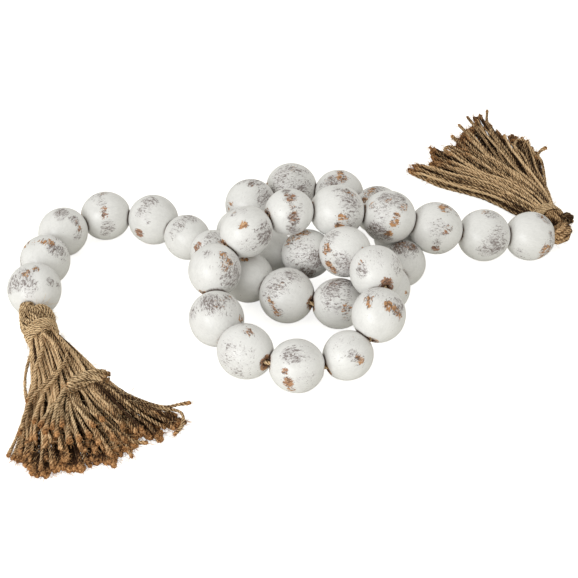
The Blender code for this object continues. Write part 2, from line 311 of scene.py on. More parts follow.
# %% Paint masks
PAINT_NOISES = {
    "brush": (260, 3, 0.6, (1, 1, 0.6), 1.5),
    "strokes": (640, 3, 0.55, (1, 1, 0.38), 0.9),
    "grain": (520, 4, 0.65, (1, 1, 0.25), 0.3),
    "chips": (340, 4, 0.70, (1, 1, 0.6), 1.0),
    "dots": (700, 2, 0.6, (1, 1, 0.7), 0.0),
    "clouds": (75, 4, 0.6, (1, 1, 0.38), 0.0),
    "redness": (14, 1, 0.5, (1, 1, 1), 0.0),
}


def read_ball(tree):
    """All that the paint reads at a point: the ball's own numbers and the noises."""
    read = {name: attribute(tree, name) for name in ("scuffed", "bare", "rim", "mouth")}
    turned = attribute(tree, "turned", "Vector")
    for name, how in PAINT_NOISES.items():
        read[name] = noise_on(tree, turned, *how)
    return read


def sum_of(tree, read, **weights):
    """Weighted sum of what is read, with each weight given by name."""
    return weighted_sum(tree, *((read[name], weight) for name, weight in weights.items()))


def haze_mask(tree, read):
    """Haze where the ball is scuffed, rubbed off along the crests of brush ridges."""
    hazy = sum_of(tree, read, clouds=1.5, grain=0.5, strokes=0.4, brush=0.7, scuffed=0.65)
    crests = contour(tree, read["brush"], level=0.55, sharpness=13.0)
    rubbed = add_math(tree, "SUBTRACT", hazy, add_math(tree, "MULTIPLY", crests, 0.28))
    return threshold(tree, rubbed, level=1.68, sharpness=1.9)


def stroke_mask(tree, read):
    """Short dark strokes, and lines of wax beside the brush ridges."""
    beside = contour(tree, read["brush"], level=0.46, sharpness=17.0)
    waxed = sum_of(tree, read, strokes=1.0, clouds=0.5, scuffed=0.46)
    lines = add_math(tree, "MULTIPLY", beside, threshold(tree, waxed, level=0.98, sharpness=5.0))
    marked = sum_of(tree, read, strokes=1.0, clouds=0.35, scuffed=0.21)
    short = threshold(tree, marked, level=0.895, sharpness=18.0)
    return add_math(tree, "MAXIMUM", short, lines)


def speck_mask(tree, read):
    dotted = sum_of(tree, read, dots=1.0, clouds=0.3, scuffed=0.13, bare=0.14)
    return threshold(tree, dotted, level=0.885, sharpness=12.0)


def wood_mask(tree, read):
    """Ragged patches of bare wood, and the bare ends."""
    wear = add_math(tree, "MAXIMUM", read["bare"], read["rim"])
    worn = weighted_sum(tree, (read["chips"], 4.0), (read["clouds"], 0.6), (wear, 1.15))
    return threshold(tree, worn, level=3.22, sharpness=5.0)


print("noises in the paint:", len(PAINT_NOISES))

# %% [markdown]
# Under the paint is a light brown wood, redder in some balls, with dark and pale grain.
# A tone is laid over what is below it where its mask is, as thick as its cover says.

# %% Wood under the paint
WOOD_TAN = (0.50, 0.225, 0.065)
WOOD_RED = (0.32, 0.135, 0.07)
WOOD_PALE = (0.63, 0.40, 0.21)
WOOD_DARK = (0.085, 0.038, 0.018)


def cover_with(tree, below, mask, cover, above):
    """Lay a tone over what is below, where its mask is, as thick as its cover."""
    return mix_colour(tree, add_math(tree, "MULTIPLY", mask, cover), below, above)


def wood_tones(tree, read):
    """Tan or red wood, by the ball, with dark and pale grain."""
    red = threshold(tree, read["redness"], level=0.48, sharpness=6.0)
    middle = mix_colour(tree, red, WOOD_TAN, WOOD_RED)
    ungrained = add_math(tree, "SUBTRACT", 1.0, read["grain"])
    dark = threshold(tree, ungrained, level=0.51, sharpness=8.0)
    pale = threshold(tree, read["grain"], level=0.55, sharpness=8.0)
    return mix_colour(tree, dark, mix_colour(tree, pale, middle, WOOD_PALE), WOOD_DARK)


print("tones of the wood: tan, red, pale, dark")

# %% [markdown]
# The finish is built up as on the bench: paint, haze, strokes, bare wood, specks, and
# last a dark stain at the mouths of the bores and in the nicks where two balls rub on
# each other, which is partly dirt and partly painted shade in the bores and painted
# shadow where the balls touch. Each is laid over the ones before with a cover below one,
# so that a little shows through. Haze and wood are duller than paint, and strokes and
# wood lie lower.

# %% Make the paint
PAINT = (0.82, 0.815, 0.79)
PAINT_SHADED = (0.735, 0.73, 0.705)
PAINT_TONES = [(0.40, PAINT_SHADED), (0.56, PAINT)]
HAZE = (0.49, 0.455, 0.455)
STROKE = (0.125, 0.088, 0.078)
SPECK = (0.12, 0.075, 0.05)
HAZE_COVER = 0.46
STROKE_COVER = 0.75
WOOD_COVER = 0.92
SPECK_COVER = 0.8
STAIN_AND_SHADE_COVER = 0.88
PAINT_ROUGHNESS = 0.33
HAZE_DULLS = 0.22
WOOD_ROUGHNESS = 0.78
PAINT_RELIEF = 0.16 * MM


def make_worn_paint():
    material, tree, shader = new_material("worn_paint")
    read = read_ball(tree)
    haze, strokes = haze_mask(tree, read), stroke_mask(tree, read)
    specks, wood = speck_mask(tree, read), wood_mask(tree, read)

    thickness = sum_of(tree, read, clouds=0.45, strokes=0.3, brush=0.25)
    colour = add_ramp(tree, thickness, PAINT_TONES)
    colour = cover_with(tree, colour, haze, HAZE_COVER, HAZE)
    colour = cover_with(tree, colour, strokes, STROKE_COVER, STROKE)
    colour = cover_with(tree, colour, wood, WOOD_COVER, wood_tones(tree, read))
    colour = cover_with(tree, colour, specks, SPECK_COVER, SPECK)
    # Dirt and painted shade: dark in the bores' mouths, with painted shadow where two balls touch.
    colour = cover_with(tree, colour, read["mouth"], STAIN_AND_SHADE_COVER, WOOD_DARK)

    dulled = add_math(tree, "MULTIPLY", haze, HAZE_DULLS)
    painted = add_math(tree, "ADD", dulled, PAINT_ROUGHNESS)
    roughness = add_math(tree, "MAXIMUM", painted, add_math(tree, "MULTIPLY", wood, WOOD_ROUGHNESS))

    height = weighted_sum(
        tree, (read["strokes"], 0.4), (read["grain"], 0.2), (strokes, -0.6), (wood, -1.0)
    )
    bump = add_node(tree, "ShaderNodeBump", Strength=0.5, Distance=PAINT_RELIEF)
    join(
        tree,
        (colour, shader.inputs["Base Color"]),
        (roughness, shader.inputs["Roughness"]),
        (height, bump.inputs["Height"]),
        (bump.outputs["Normal"], shader.inputs["Normal"]),
    )
    return material


worn_paint = make_worn_paint()
print("paint nodes:", len(worn_paint.node_tree.nodes))

# %% [markdown]
# ## Turning a ball
#
# A ball could be a sphere with a hole cut through it, but the cut leaves long, thin faces
# round the hole. The real ball is turned on a lathe, so it is made the same way here:
# half of its section, bore wall included, is spun about the bore. These balls are a
# little longer than wide and are cut off flat at both ends, so that they sit against
# each other. The lip between the bore and the flat is a small round. Hand-fed lathes
# leave no ball quite true, so each is pushed in and out by its own stretch of a slow
# noise.

# %% Turn one ball
BORE_RADIUS = 2.3 * MM
LIP_RADIUS = 3.1 * MM
LIP_DEPTH = 0.9 * MM
FLAT_RADIUS = 6.2 * MM
ARC_STEPS = 34
LIP_STEPS = 3
TURN_STEPS = 64
LUMP_HEIGHT = 0.22 * MM
LUMP_SCALE = 1 / (16 * MM)
LUMP_STRIDE = 7.3
MERGE_WITHIN = 0.01 * MM


def ball_section(radius, wide):
    """Half section: around the outside from flat to flat, then through the bore."""
    width = radius * wide
    length = radius / math.sqrt(1 - (FLAT_RADIUS / width) ** 2)
    first = math.asin(FLAT_RADIUS / width)
    arc = [first + (math.pi - 2 * first) * i / ARC_STEPS for i in range(ARC_STEPS + 1)]
    points = [(width * math.sin(a), length * math.cos(a)) for a in arc]
    lip = [(LIP_RADIUS, radius)]
    for i in range(1, LIP_STEPS + 1):
        turn = math.pi / 2 * i / LIP_STEPS
        x = LIP_RADIUS - (LIP_RADIUS - BORE_RADIUS) * math.sin(turn)
        lip.append((x, radius - LIP_DEPTH * (1 - math.cos(turn))))
    below = [(x, -z) for x, z in lip]
    return points + below + lip[::-1]


def turn_ball(radius, wide, seed):
    """A bmesh of one drilled ball at the origin, with its bore along Z."""
    bm = bmesh.new()
    verts = [bm.verts.new((x, 0, z)) for x, z in ball_section(radius, wide)]
    edges = [bm.edges.new(pair) for pair in zip(verts, verts[1:] + verts[:1])]
    bmesh.ops.spin(
        bm, geom=verts + edges, cent=(0, 0, 0), axis=(0, 0, 1), angle=math.tau,
        steps=TURN_STEPS, use_merge=True, use_duplicate=False,
    )
    bmesh.ops.remove_doubles(bm, verts=bm.verts, dist=MERGE_WITHIN)
    bmesh.ops.recalc_face_normals(bm, faces=bm.faces)
    for vert in bm.verts:
        lump = noise.noise(vert.co * LUMP_SCALE + Vector((seed * LUMP_STRIDE, seed, 0)))
        vert.co += vert.co.normalized() * lump * LUMP_HEIGHT
    return bm


test_ball = turn_ball(BALL_RADIUS["M"], 1.0, 1)
print("faces in a ball:", len(test_ball.faces))
test_ball.free()

# %% [markdown]
# ## Where each ball is worn
#
# Noise could scatter the worn patches, but the photo shows them, so they are listed one
# by one: where a patch's middle is seen in the photo and its size, both in pixels, then how
# strongly it is scuffed and how bare it is.

# %% Wear table
WEAR_SPOTS = {
    1: [(30, 273, 5, 0.8, 0.9), (38, 269, 4, 0.6, 0.9), (24, 272, 6, 0.8, 0.3),
        (22, 281, 9, 1.1, 0.1), (30, 281, 7, 1.0, 0.1), (14, 288, 6, 1.0, 0.1),
        (53, 282, 4, 1.2, 0.3), (59, 285, 3, 1.0, 0.5), (32, 288, 8, 0.6, 0)],
    2: [(28, 245, 5, 0.3, 0.95), (36, 243, 4, 0.5, 0.7), (47, 242, 5, 0.4, 1.05),
        (53, 243, 4, 0.4, 1.05), (54, 249, 4, 1.0, 0.3), (63, 251, 5, 1.1, 0.2),
        (58, 251, 6, 0.8, 0), (66, 257, 6, 0.6, 0)],
    3: [(64, 213, 6, 1.0, 0.1), (63, 219, 4, 0.8, 0), (76, 220, 5, 0.9, 0.2),
        (79, 224, 3, 0.6, 0.9), (82, 230, 3.5, 0.4, 1.0), (80, 236, 5, 0.7, 0)],
    4: [(105, 194, 4, 0.6, 0.8), (98, 198, 7, 0.7, 0), (106, 211, 4, 0.5, 0.95),
        (107, 217, 4, 0.5, 0.9), (110, 227, 6, 1.0, 0.1), (107, 233, 4.5, 0.9, 0.2),
        (104, 204, 5, 0.7, 0.1)],
    5: [(141, 233, 5, 0.3, 1.15), (151, 203, 8, 0.8, 0.1), (145, 214, 7, 0.7, 0),
        (149, 222, 4, 0.7, 0.1)],
    6: [(179, 226, 8, 0.9, 0.3), (189, 219, 7, 0.8, 0.1), (175, 233, 6, 0.7, 0.2)],
    7: [(198, 248, 5.5, 0.4, 1.1), (213, 238, 9, 0.9, 0.1), (224, 243, 5, 0.5, 1.0)],
    8: [(244, 259, 5, 0.3, 1.0)],
    9: [(271, 300, 4.5, 0.6, 0.9), (274, 306, 4.5, 0.6, 0.8), (278, 312, 5.5, 0.6, 0.9),
        (277, 285, 12, 0.8, 0), (292, 276, 9, 0.8, 0.2), (281, 286, 3, 0.5, 1.0),
        (268, 292, 7, 0.8, 0)],
    10: [(335, 283, 7, 1.0, 0.5), (345, 281, 8, 1.0, 0.4), (330, 292, 10, 0.9, 0),
         (347, 296, 7, 0.8, 0.2), (346, 308, 5.5, 0.7, 0.9), (345, 318, 5, 0.6, 0.6),
         (334, 302, 11, 0.7, 0), (352, 300, 8, 0.5, 0)],
    11: [(406, 293, 4.5, 0.6, 0.8), (403, 280, 8, 0.5, 0)],
    12: [(400, 246, 9, 1.2, 0.7), (411, 247, 7, 1.1, 0.7), (407, 252, 8, 0.7, 0.1)],
    14: [(371, 192, 7, 0.9, 0.75), (367, 197, 6, 0.8, 0.7), (364, 201, 4, 0.4, 1.0),
         (378, 190, 7, 0.8, 0.2)],
    15: [(340, 174, 4, 0.4, 1.1), (341, 180, 5, 0.6, 1.0), (331, 183, 7, 1.0, 0.55),
         (324, 186, 6, 0.7, 0)],
    16: [(292, 184, 18, 0.8, 0.1), (294, 169, 5, 0.6, 0.5), (300, 191, 3.5, 1.2, 0.2),
         (308, 197, 6, 0.9, 0), (273, 192, 5, 0.8, 0)],
    17: [(252, 185, 4, 1.0, 0.8), (242, 182, 6, 0.8, 0.1), (258, 183, 7, 0.9, 0.1),
         (265, 199, 9, 0.9, 0.05), (231, 207, 5, 0.3, 0.85)],
    20: [(290, 240, 7, 0.6, 0.8), (299, 235, 6, 0.7, 0.9), (306, 233, 5, 0.8, 0.9),
         (300, 255, 17, 0.6, 0), (316, 260, 9, 1.0, 0), (307, 273, 8, 1.2, 0.5)],
    21: [(326, 249, 6, 0.6, 1.0), (331, 254, 4, 0.5, 0.8), (329, 265, 5.5, 0.5, 1.3),
         (333, 271, 5, 0.5, 1.15), (341, 260, 8, 0.9, 0), (329, 238, 8, 0.8, 0),
         (342, 271, 9, 0.8, 0)],
    22: [(385, 283, 6, 0.2, 1.5), (360, 263, 3, 0.3, 1.0), (360, 271, 6, 0.9, 0.1),
         (376, 254, 10, 0.4, 0), (396, 266, 9, 0.5, 0)],
    23: [(368, 299, 5, 0.6, 0.9), (368, 305, 3.5, 0.4, 0.9), (387, 305, 5.5, 0.6, 1.15),
         (394, 310, 4.5, 0.6, 1.0), (398, 316, 4, 0.6, 0.9), (374, 292, 10, 0.7, 0),
         (396, 305, 10, 0.8, 0), (386, 296, 9, 0.5, 0)],
    24: [(353, 341, 6, 0.6, 0.3), (359, 359, 6, 0.4, 0.9), (352, 354, 5, 0.8, 0.1),
         (345, 345, 9, 0.4, 0)],
    25: [(291, 354, 9, 0.85, 0), (303, 350, 9, 0.5, 0), (285, 370, 4, 0.4, 0.95),
         (288, 381, 6, 0.4, 1.3), (291, 388, 4.5, 0.3, 1.0), (306, 381, 10, 0.5, 0)],
    26: [(249, 331, 6, 0.4, 0.85), (233, 357, 15, 0.5, 0), (247, 368, 10, 0.5, 0),
         (238, 372, 7, 0.7, 0.1)],
    27: [(212, 302, 11, 1.0, 0), (221, 303, 7, 0.9, 0.6), (229, 298, 6, 0.9, 0.65),
         (241, 319, 5, 0.5, 0.8), (226, 308, 10, 0.7, 0.1), (194, 313, 6, 0.7, 0)],
    28: [(224, 256, 5, 0.6, 0.95), (229, 262, 4.5, 0.6, 1.0), (225, 267, 5, 0.6, 0.8),
         (233, 277, 12, 1.0, 0), (207, 254, 5, 0.8, 0.1), (235, 262, 9, 0.5, 0)],
    29: [(241, 227, 4, 0.3, 1.0), (245, 225, 4, 0.3, 1.1), (235, 214, 4, 0.8, 0.3),
         (242, 211, 6, 0.6, 0), (266, 234, 10, 1.0, 0), (252, 246, 10, 0.6, 0)],
    30: [(290, 198, 6, 0.8, 0.9), (286, 192, 4, 1.0, 0.3), (292, 207, 3.5, 0.7, 0.7),
         (293, 217, 5, 0.9, 0.8), (296, 221, 4, 0.8, 0.7), (292, 227, 4.5, 0.8, 0.5),
         (294, 231, 6, 0.8, 0.1), (297, 209, 7, 0.5, 0)],
    31: [(347, 193, 5, 0.9, 0.7), (353, 196, 4, 0.8, 0.75), (352, 204, 10, 0.9, 0),
         (345, 208, 7, 0.7, 0), (341, 218, 4, 0.4, 1.1), (347, 218, 3.5, 0.4, 0.8),
         (339, 227, 5, 0.5, 1.1), (352, 217, 10, 0.7, 0), (338, 192, 7, 0.6, 0),
         (350, 228, 7, 0.6, 0)],
    32: [(386, 200, 9, 1.0, 0.2), (397, 201, 9, 1.0, 0.3), (402, 208, 5, 0.9, 0.8),
         (387, 202, 4, 0.6, 0.8), (372, 206, 4.5, 0.8, 0.6), (395, 217, 4, 0.4, 0.9),
         (393, 224, 5, 0.4, 1.0), (388, 234, 4, 0.4, 1.2), (376, 234, 11, 1.1, 0.1),
         (384, 240, 7, 1.0, 0.2), (380, 214, 8, 0.6, 0)],
    33: [(444, 209, 6.5, 0.6, 1.05), (447, 229, 4, 0.6, 0.8), (444, 233, 4, 0.5, 0.75),
         (434, 249, 4.5, 0.5, 1.1), (437, 231, 10, 0.5, 0), (454, 211, 8, 0.8, 0),
         (435, 243, 4, 0.9, 0.2)],
    34: [(484, 213, 4, 0.4, 0.9), (491, 215, 7, 0.8, 0.1), (494, 243, 12, 0.8, 0),
         (484, 252, 7, 0.7, 0), (499, 228, 8, 0.6, 0)],
    35: [(539, 217, 5, 0.8, 0.8), (544, 221, 5, 0.9, 0.4), (547, 234, 2.5, 1.0, 0.7),
         (544, 251, 7.5, 0.5, 0.95), (541, 258, 5, 0.4, 0.8), (521, 256, 9, 0.5, 0),
         (548, 243, 8, 0.5, 0)],
}

print("spots placed by hand:", sum(len(spots) for spots in WEAR_SPOTS.values()))

# %% [markdown]
# The camera's place and lens tell which point of a ball is seen at a pixel. A spot at
# the very outline is drawn in a little, so that it stays on the side that shows. The
# sides that the photo hides get patches of the same kind at random, and so do the balls
# that hide behind the others.

# %% Aim the wear
PHOTO_WIDTH = 578
SENSOR_WIDTH = 36
FOCAL_PIXELS = CAMERA_LENS / SENSOR_WIDTH * PHOTO_WIDTH
OUTLINE_REACH = 0.97
HIDDEN_SPOTS = 4
HIDDEN_BELOW = -0.25
HIDDEN_BARE = (0, 0, 0.7, 1.1)
HIDDEN_SCUFF = (0.4, 1)
BARE_SIZES = (0.2, 0.35)
SCUFF_SIZES = (0.35, 0.75)
camera_right = Vector((1, 0, 0))
camera_up = toward_camera.cross(camera_right)


def random_direction(chance):
    return Vector([chance.gauss(0, 1) for _ in range(3)]).normalized()


def seen_direction(centre, radius, across, down):
    """From a ball's centre, the direction to the point seen at a pixel of the photo."""
    away = centre - camera.location
    scale = FOCAL_PIXELS / -away.dot(toward_camera)
    right = ((across - PHOTO_WIDTH / 2) / scale - away.dot(camera_right)) / radius
    above = ((PHOTO_WIDTH / 2 - down) / scale - away.dot(camera_up)) / radius
    reach = math.hypot(right, above)
    if reach > OUTLINE_REACH:
        right, above = right * OUTLINE_REACH / reach, above * OUTLINE_REACH / reach
    facing = math.sqrt(1 - right * right - above * above)
    return camera_right * right + camera_up * above + toward_camera * facing


def wear_of(index, chance):
    """All wear spots of one ball as (direction, size in radii, scuffed, bare)."""
    placed = WEAR_SPOTS.get(index + 1, [])
    spots = []
    pixel = (centres[index] - camera.location).length / FOCAL_PIXELS
    for across, down, size, scuffed, bare in placed:
        toward = seen_direction(centres[index], radii[index], across, down)
        spots.append((toward, size * pixel / radii[index], scuffed, bare))
    while len(spots) < len(placed) + HIDDEN_SPOTS:
        away = random_direction(chance)
        if away.dot(toward_camera) < HIDDEN_BELOW:
            bare = chance.choice(HIDDEN_BARE)
            size = chance.uniform(*(BARE_SIZES if bare else SCUFF_SIZES))
            spots.append((away, size, chance.uniform(*HIDDEN_SCUFF), bare))
    return spots


print("focal length in pixels:", round(FOCAL_PIXELS))

# %% [markdown]
# ## The 35 balls
#
# A mesh carries extra numbers as attributes, one value for each point, and every
# finished piece is linked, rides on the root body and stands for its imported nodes. These
# helpers do that for the balls and later for the twine.

# %% Piece helpers


def falloff(distance, reach, fade):
    """One out to the reach, then fading smoothly to nothing over the fade."""
    share = np.clip(1 - (distance - reach) / fade, 0, 1)
    return share * share * (3 - 2 * share)


def write_attribute(mesh, name, values):
    """Give each point of a mesh a number, or three where the values have rows."""
    kind, field = ("FLOAT_VECTOR", "vector") if values.ndim == 2 else ("FLOAT", "value")
    layer = mesh.attributes.new(name, kind, "POINT")
    layer.data.foreach_set(field, values.astype(np.float32).ravel())


def mesh_points(mesh):
    points = np.empty(len(mesh.vertices) * 3, np.float32)
    mesh.vertices.foreach_get("co", points)
    return points.reshape(-1, 3)


def finish_piece(name, mesh, material, slot, *nodes):
    """Link a finished mesh, let it ride on the root body and stand for its nodes."""
    mesh.name = name
    mesh.materials.clear()
    mesh.materials.append(material)
    mesh.shade_smooth()
    piece = bpy.data.objects.new(name, mesh)
    bpy.context.scene.collection.objects.link(piece)
    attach(piece, "root")
    if nodes:
        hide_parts(*nodes)
    return piece


print("piece helpers ready")

# %% [markdown]
# Four masks follow from where a ball's points lie. Its flat ends are bare, but the ends
# that touch a tassel stay painted. The bore's mouths, and the surface wherever it comes
# near a neighbour, are darkened by dirt and by painted shade, a painted shadow where two
# balls touch. The wear spots spread from their middles, the scuffing a little wider than
# the bare wood.

# %% Masks of a ball
RIM_REACH = 5.7 * MM
RIM_FADE = 1.7 * MM
RIM_WEAR = (0.8, 1.5)
MOUTH_REACH = 2.8 * MM
MOUTH_FADE = 0.8 * MM
NICK_REACH = 1.5 * MM
NICK_FADE = 1.1 * MM
SCUFF_REACH, SCUFF_FADE = 0.7, 1.2
BARE_REACH, BARE_FADE = 0.6, 1.1


def rim_mask(index, local, from_bore, chance):
    before, after = chance.uniform(*RIM_WEAR), chance.uniform(*RIM_WEAR)
    if index == 0:
        before = 0
    if index == len(radii) - 1:
        after = 0
    return falloff(from_bore, RIM_REACH, RIM_FADE) * np.where(local[:, 2] > 0, after, before)


# Dirt and painted shade at the bore's mouth, and painted shadow where a neighbour comes near.
def mouth_mask(index, world, from_bore):
    mouth = falloff(from_bore, MOUTH_REACH, MOUTH_FADE)
    for other in (index - 1, index + 1):
        if 0 <= other < len(centres):
            gap = np.linalg.norm(world - np.array(centres[other]), axis=1) - radii[other]
            mouth = np.maximum(mouth, falloff(gap, NICK_REACH, NICK_FADE))
    return mouth


def wear_masks(index, world, chance):
    """How scuffed and how bare each point is, by the nearest of the ball's spots."""
    outward = (world - np.array(centres[index])) / radii[index]
    scuffed, bare = np.zeros(len(world)), np.zeros(len(world))
    for direction, size, scuff_share, bare_share in wear_of(index, chance):
        away = np.linalg.norm(outward - np.array(direction), axis=1)
        scuff_here = falloff(away, size * SCUFF_REACH, size * SCUFF_FADE) * scuff_share
        bare_here = falloff(away, size * BARE_REACH, size * BARE_FADE) * bare_share
        scuffed, bare = np.maximum(scuffed, scuff_here), np.maximum(bare, bare_here)
    return scuffed, bare


print("masks on each ball: rim, mouth, scuffed, bare")

# %% [markdown]
# Each ball is turned, stood on its bore's axis with its own roll, and moved to its
# place. Its place on the lathe is kept as it was, shifted so that no two balls show the
# same noise. The points that would reach under the table are lifted to it, which leaves
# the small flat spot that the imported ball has.

# %% Make the balls
WIDE_BALLS = (5, 9, 15, 17, 23, 28)
WIDE_RANGE = (0.995, 1.02)
WIDER_BY = 0.025
NOISE_SHIFT = 0.1


def make_ball(index, chance):
    radius, centre, bore = radii[index], centres[index], bores[index]
    wide = chance.uniform(*WIDE_RANGE) + (WIDER_BY if index + 1 in WIDE_BALLS else 0)
    bm = turn_ball(radius, wide, index)
    mesh = bpy.data.meshes.new(ball_nodes[index])
    bm.to_mesh(mesh)
    bm.free()
    local = mesh_points(mesh)
    from_bore = np.hypot(local[:, 0], local[:, 1])
    write_attribute(mesh, "turned", local + index * NOISE_SHIFT)
    write_attribute(mesh, "rim", rim_mask(index, local, from_bore, chance))
    roll = Matrix.Rotation(chance.uniform(0, math.tau), 4, "Z")
    stand = bore.to_track_quat("Z", "Y").to_matrix().to_4x4()
    mesh.transform(Matrix.Translation(centre) @ stand @ roll)
    world = mesh_points(mesh)
    write_attribute(mesh, "mouth", mouth_mask(index, world, from_bore))
    scuffed, bare = wear_masks(index, world, chance)
    write_attribute(mesh, "scuffed", scuffed)
    write_attribute(mesh, "bare", bare)
    world[:, 2] = np.maximum(world[:, 2], 0)
    mesh.vertices.foreach_set("co", world.ravel())
    return finish_piece(f"ball_{index + 1:02d}", mesh, worn_paint, "painted_wood", ball_nodes[index])


wear_chance = random.Random(35)
balls = [make_ball(index, wear_chance) for index in range(len(radii))]
print("balls made:", len(balls))

# %% [markdown]
# ## Jute
#
# Jute twine is three plies twisted together, each a loose bundle of fibres. A round tube
# with the plies as a bump would do for the far side of a room, but here the outline
# shows. So the twine is a tube with a lobed outline that turns as it goes, and the plies
# are real shape. The material adds what is finer: fibres that run along the ply, painted
# shade in the grooves between plies and painted light on their crests, and pale and dark
# lengths.
#
# Every point of a twine knows its place in the straight twine before it was laid: its
# place across the twine in X and Y, and its way along it in Z. Noise drawn out along Z
# then gives fibres that follow every bend. Three materials use this, so it is a node
# group with its own inputs.

# %% Jute node group
LOBES = 3
JUTE_SHADE = (0.040, 0.018, 0.007)
JUTE_MIDDLE = (0.39, 0.245, 0.118)
JUTE_PALE = (0.86, 0.64, 0.38)
JUTE_TONES = [(0.25, JUTE_SHADE), (0.50, JUTE_MIDDLE), (0.76, JUTE_PALE)]
JUTE_LEVEL = 0.99


def make_jute_group():
    group = bpy.data.node_groups.new("jute_fibres", "ShaderNodeTree")
    inputs = (("Laid", "Vector"), ("Tint", "Float"), ("Brightness", "Float"), ("Frayed", "Float"))
    for name, kind in inputs:
        group.interface.new_socket(name, in_out="INPUT", socket_type=f"NodeSocket{kind}")
    for name, kind in (("Color", "Color"), ("Height", "Float")):
        group.interface.new_socket(name, in_out="OUTPUT", socket_type=f"NodeSocket{kind}")
    enter = group.nodes.new("NodeGroupInput")
    leave = group.nodes.new("NodeGroupOutput")
    laid = enter.outputs["Laid"]
    place = add_node(group, "ShaderNodeTexCoord").outputs["Object"]

    fibres = noise_on(group, laid, scale=1700, detail=3, roughness=0.6, stretch=(1, 1, 0.16))
    lengths = noise_on(group, laid, scale=120, detail=2, roughness=0.5)
    flecks = noise_on(group, place, scale=800, detail=3, roughness=0.7)

    parts = add_node(group, "ShaderNodeSeparateXYZ")
    join(group, (laid, parts.inputs[0]))
    # Painted shade in the grooves between the plies and painted light on their crests, faded where
    # frayed.
    turn = add_math(group, "ARCTAN2", parts.outputs["Y"], parts.outputs["X"])
    groove = add_math(group, "COSINE", add_math(group, "MULTIPLY", turn, float(LOBES)))
    whole = add_math(group, "SUBTRACT", 1.0, enter.outputs["Frayed"])
    groove = add_math(group, "MULTIPLY", groove, whole)

    tint = add_math(group, "SUBTRACT", enter.outputs["Tint"], 0.5)
    tone = weighted_sum(
        group, (fibres, 1.15), (lengths, 0.7), (flecks, 1.1), (groove, 0.22), (tint, 0.32)
    )
    tone = add_math(group, "SUBTRACT", tone, JUTE_LEVEL)
    tone = add_math(group, "ADD", tone, enter.outputs["Brightness"])
    colour = add_ramp(group, tone, JUTE_TONES)
    height = weighted_sum(group, (fibres, 1.0), (groove, 0.3))
    join(group, (colour, leave.inputs["Color"]), (height, leave.inputs["Height"]))
    return group


jute_fibres = make_jute_group()
print("jute group sockets:", [item.name for item in jute_fibres.interface.items_tree])

# %% [markdown]
# Cut ends of jute turn orange brown as they fray, so a strand's material also reads how
# near each point is to the strand's tip, and multiplies its colour by a warm tone there.
# The plies open at the tip, so the painted shade of their grooves fades out.

# %% Jute materials
TIP_TONE = (1.0, 0.70, 0.48)
TIP_COVER = 0.9
JUTE_ROUGHNESS = 0.9
JUTE_GLOSS = 0.2
JUTE_RELIEF = 0.3 * MM


def make_jute(name, brightness, tip_cover=0.0):
    material, tree, shader = new_material(name)
    group = tree.nodes.new("ShaderNodeGroup")
    group.node_tree = jute_fibres
    group.inputs["Brightness"].default_value = brightness
    bump = add_node(tree, "ShaderNodeBump", Strength=0.7, Distance=JUTE_RELIEF)
    colour = group.outputs["Color"]
    if tip_cover:
        cover = add_math(tree, "MULTIPLY", attribute(tree, "tip"), tip_cover)
        colour = mix_colour(tree, cover, colour, TIP_TONE, "MULTIPLY")
        join(tree, (cover, group.inputs["Frayed"]))
    join(
        tree,
        (attribute(tree, "laid", "Vector"), group.inputs["Laid"]),
        (attribute(tree, "tint"), group.inputs["Tint"]),
        (colour, shader.inputs["Base Color"]),
        (group.outputs["Height"], bump.inputs["Height"]),
        (bump.outputs["Normal"], shader.inputs["Normal"]),
    )
    shader.inputs["Roughness"].default_value = JUTE_ROUGHNESS
    shader.inputs["Specular IOR Level"].default_value = JUTE_GLOSS
    return material


jute_strand = make_jute("jute_strand", 0.0, TIP_COVER)
jute_string = make_jute("jute_string", 0.10)
jute_twine = make_jute("jute_twine", 0.04)
print("jute materials:", [jute.name for jute in (jute_strand, jute_string, jute_twine)])

# %% [markdown]
# ## Twine along a route
#
# Three thin tubes wound round each other would be truer twine, but hundreds of strands
# would need three times the faces. So every string and strand is one outline, swept
# along a route. The outline of twine has a lobe for each ply. The route is a smooth
# curve through a few points, cut into equal steps, so that the twist is even.

# %% Outlines and routes
LOBE_DEPTH = 0.2
LOBE_POINTS = 3
HAIR_SIDES = 3
LEAST_STEPS = 4


def make_outline(name, points, lobe_depth):
    """A closed outline of unit radius for the bevel, with one lobe for each ply."""
    curve = bpy.data.curves.new(name, "CURVE")
    spline = curve.splines.new("POLY")
    spline.points.add(points - 1)
    for i, point in enumerate(spline.points):
        turn = math.tau * i / points
        reach = 1 - lobe_depth * (1 - math.cos(LOBES * turn)) / 2
        point.co = (reach * math.cos(turn), reach * math.sin(turn), 0, 1)
    spline.use_cyclic_u = True
    return bpy.data.objects.new(name, curve)


ply_outline = make_outline("ply_outline", LOBE_POINTS * LOBES, LOBE_DEPTH)
hair_outline = make_outline("hair_outline", HAIR_SIDES, 0)


def smooth_route(points, steps=8):
    """Points on a smooth curve through the given ones."""
    ends = [2 * points[0] - points[1], *points, 2 * points[-1] - points[-2]]
    dense = []
    for before, start, end, after in zip(ends, ends[1:], ends[2:], ends[3:]):
        for k in range(steps):
            t = k / steps
            cubic = 3 * (start - end) + after - before
            square = 2 * before - 5 * start + 4 * end - after
            dense.append(0.5 * (2 * start + (end - before) * t + square * t ** 2 + cubic * t ** 3))
    return dense + [points[-1].copy()]


def even_route(points, step):
    """The same line cut into equal steps, with the way travelled at each."""
    line = np.array([tuple(p) for p in points])
    gaps = np.linalg.norm(np.diff(line, axis=0), axis=1)
    reach = np.concatenate(([0], np.cumsum(gaps)))
    count = max(LEAST_STEPS, int(round(reach[-1] / step)) + 1)
    stops = np.linspace(0, reach[-1], count)
    return np.column_stack([np.interp(stops, reach, line[:, i]) for i in range(3)]), stops


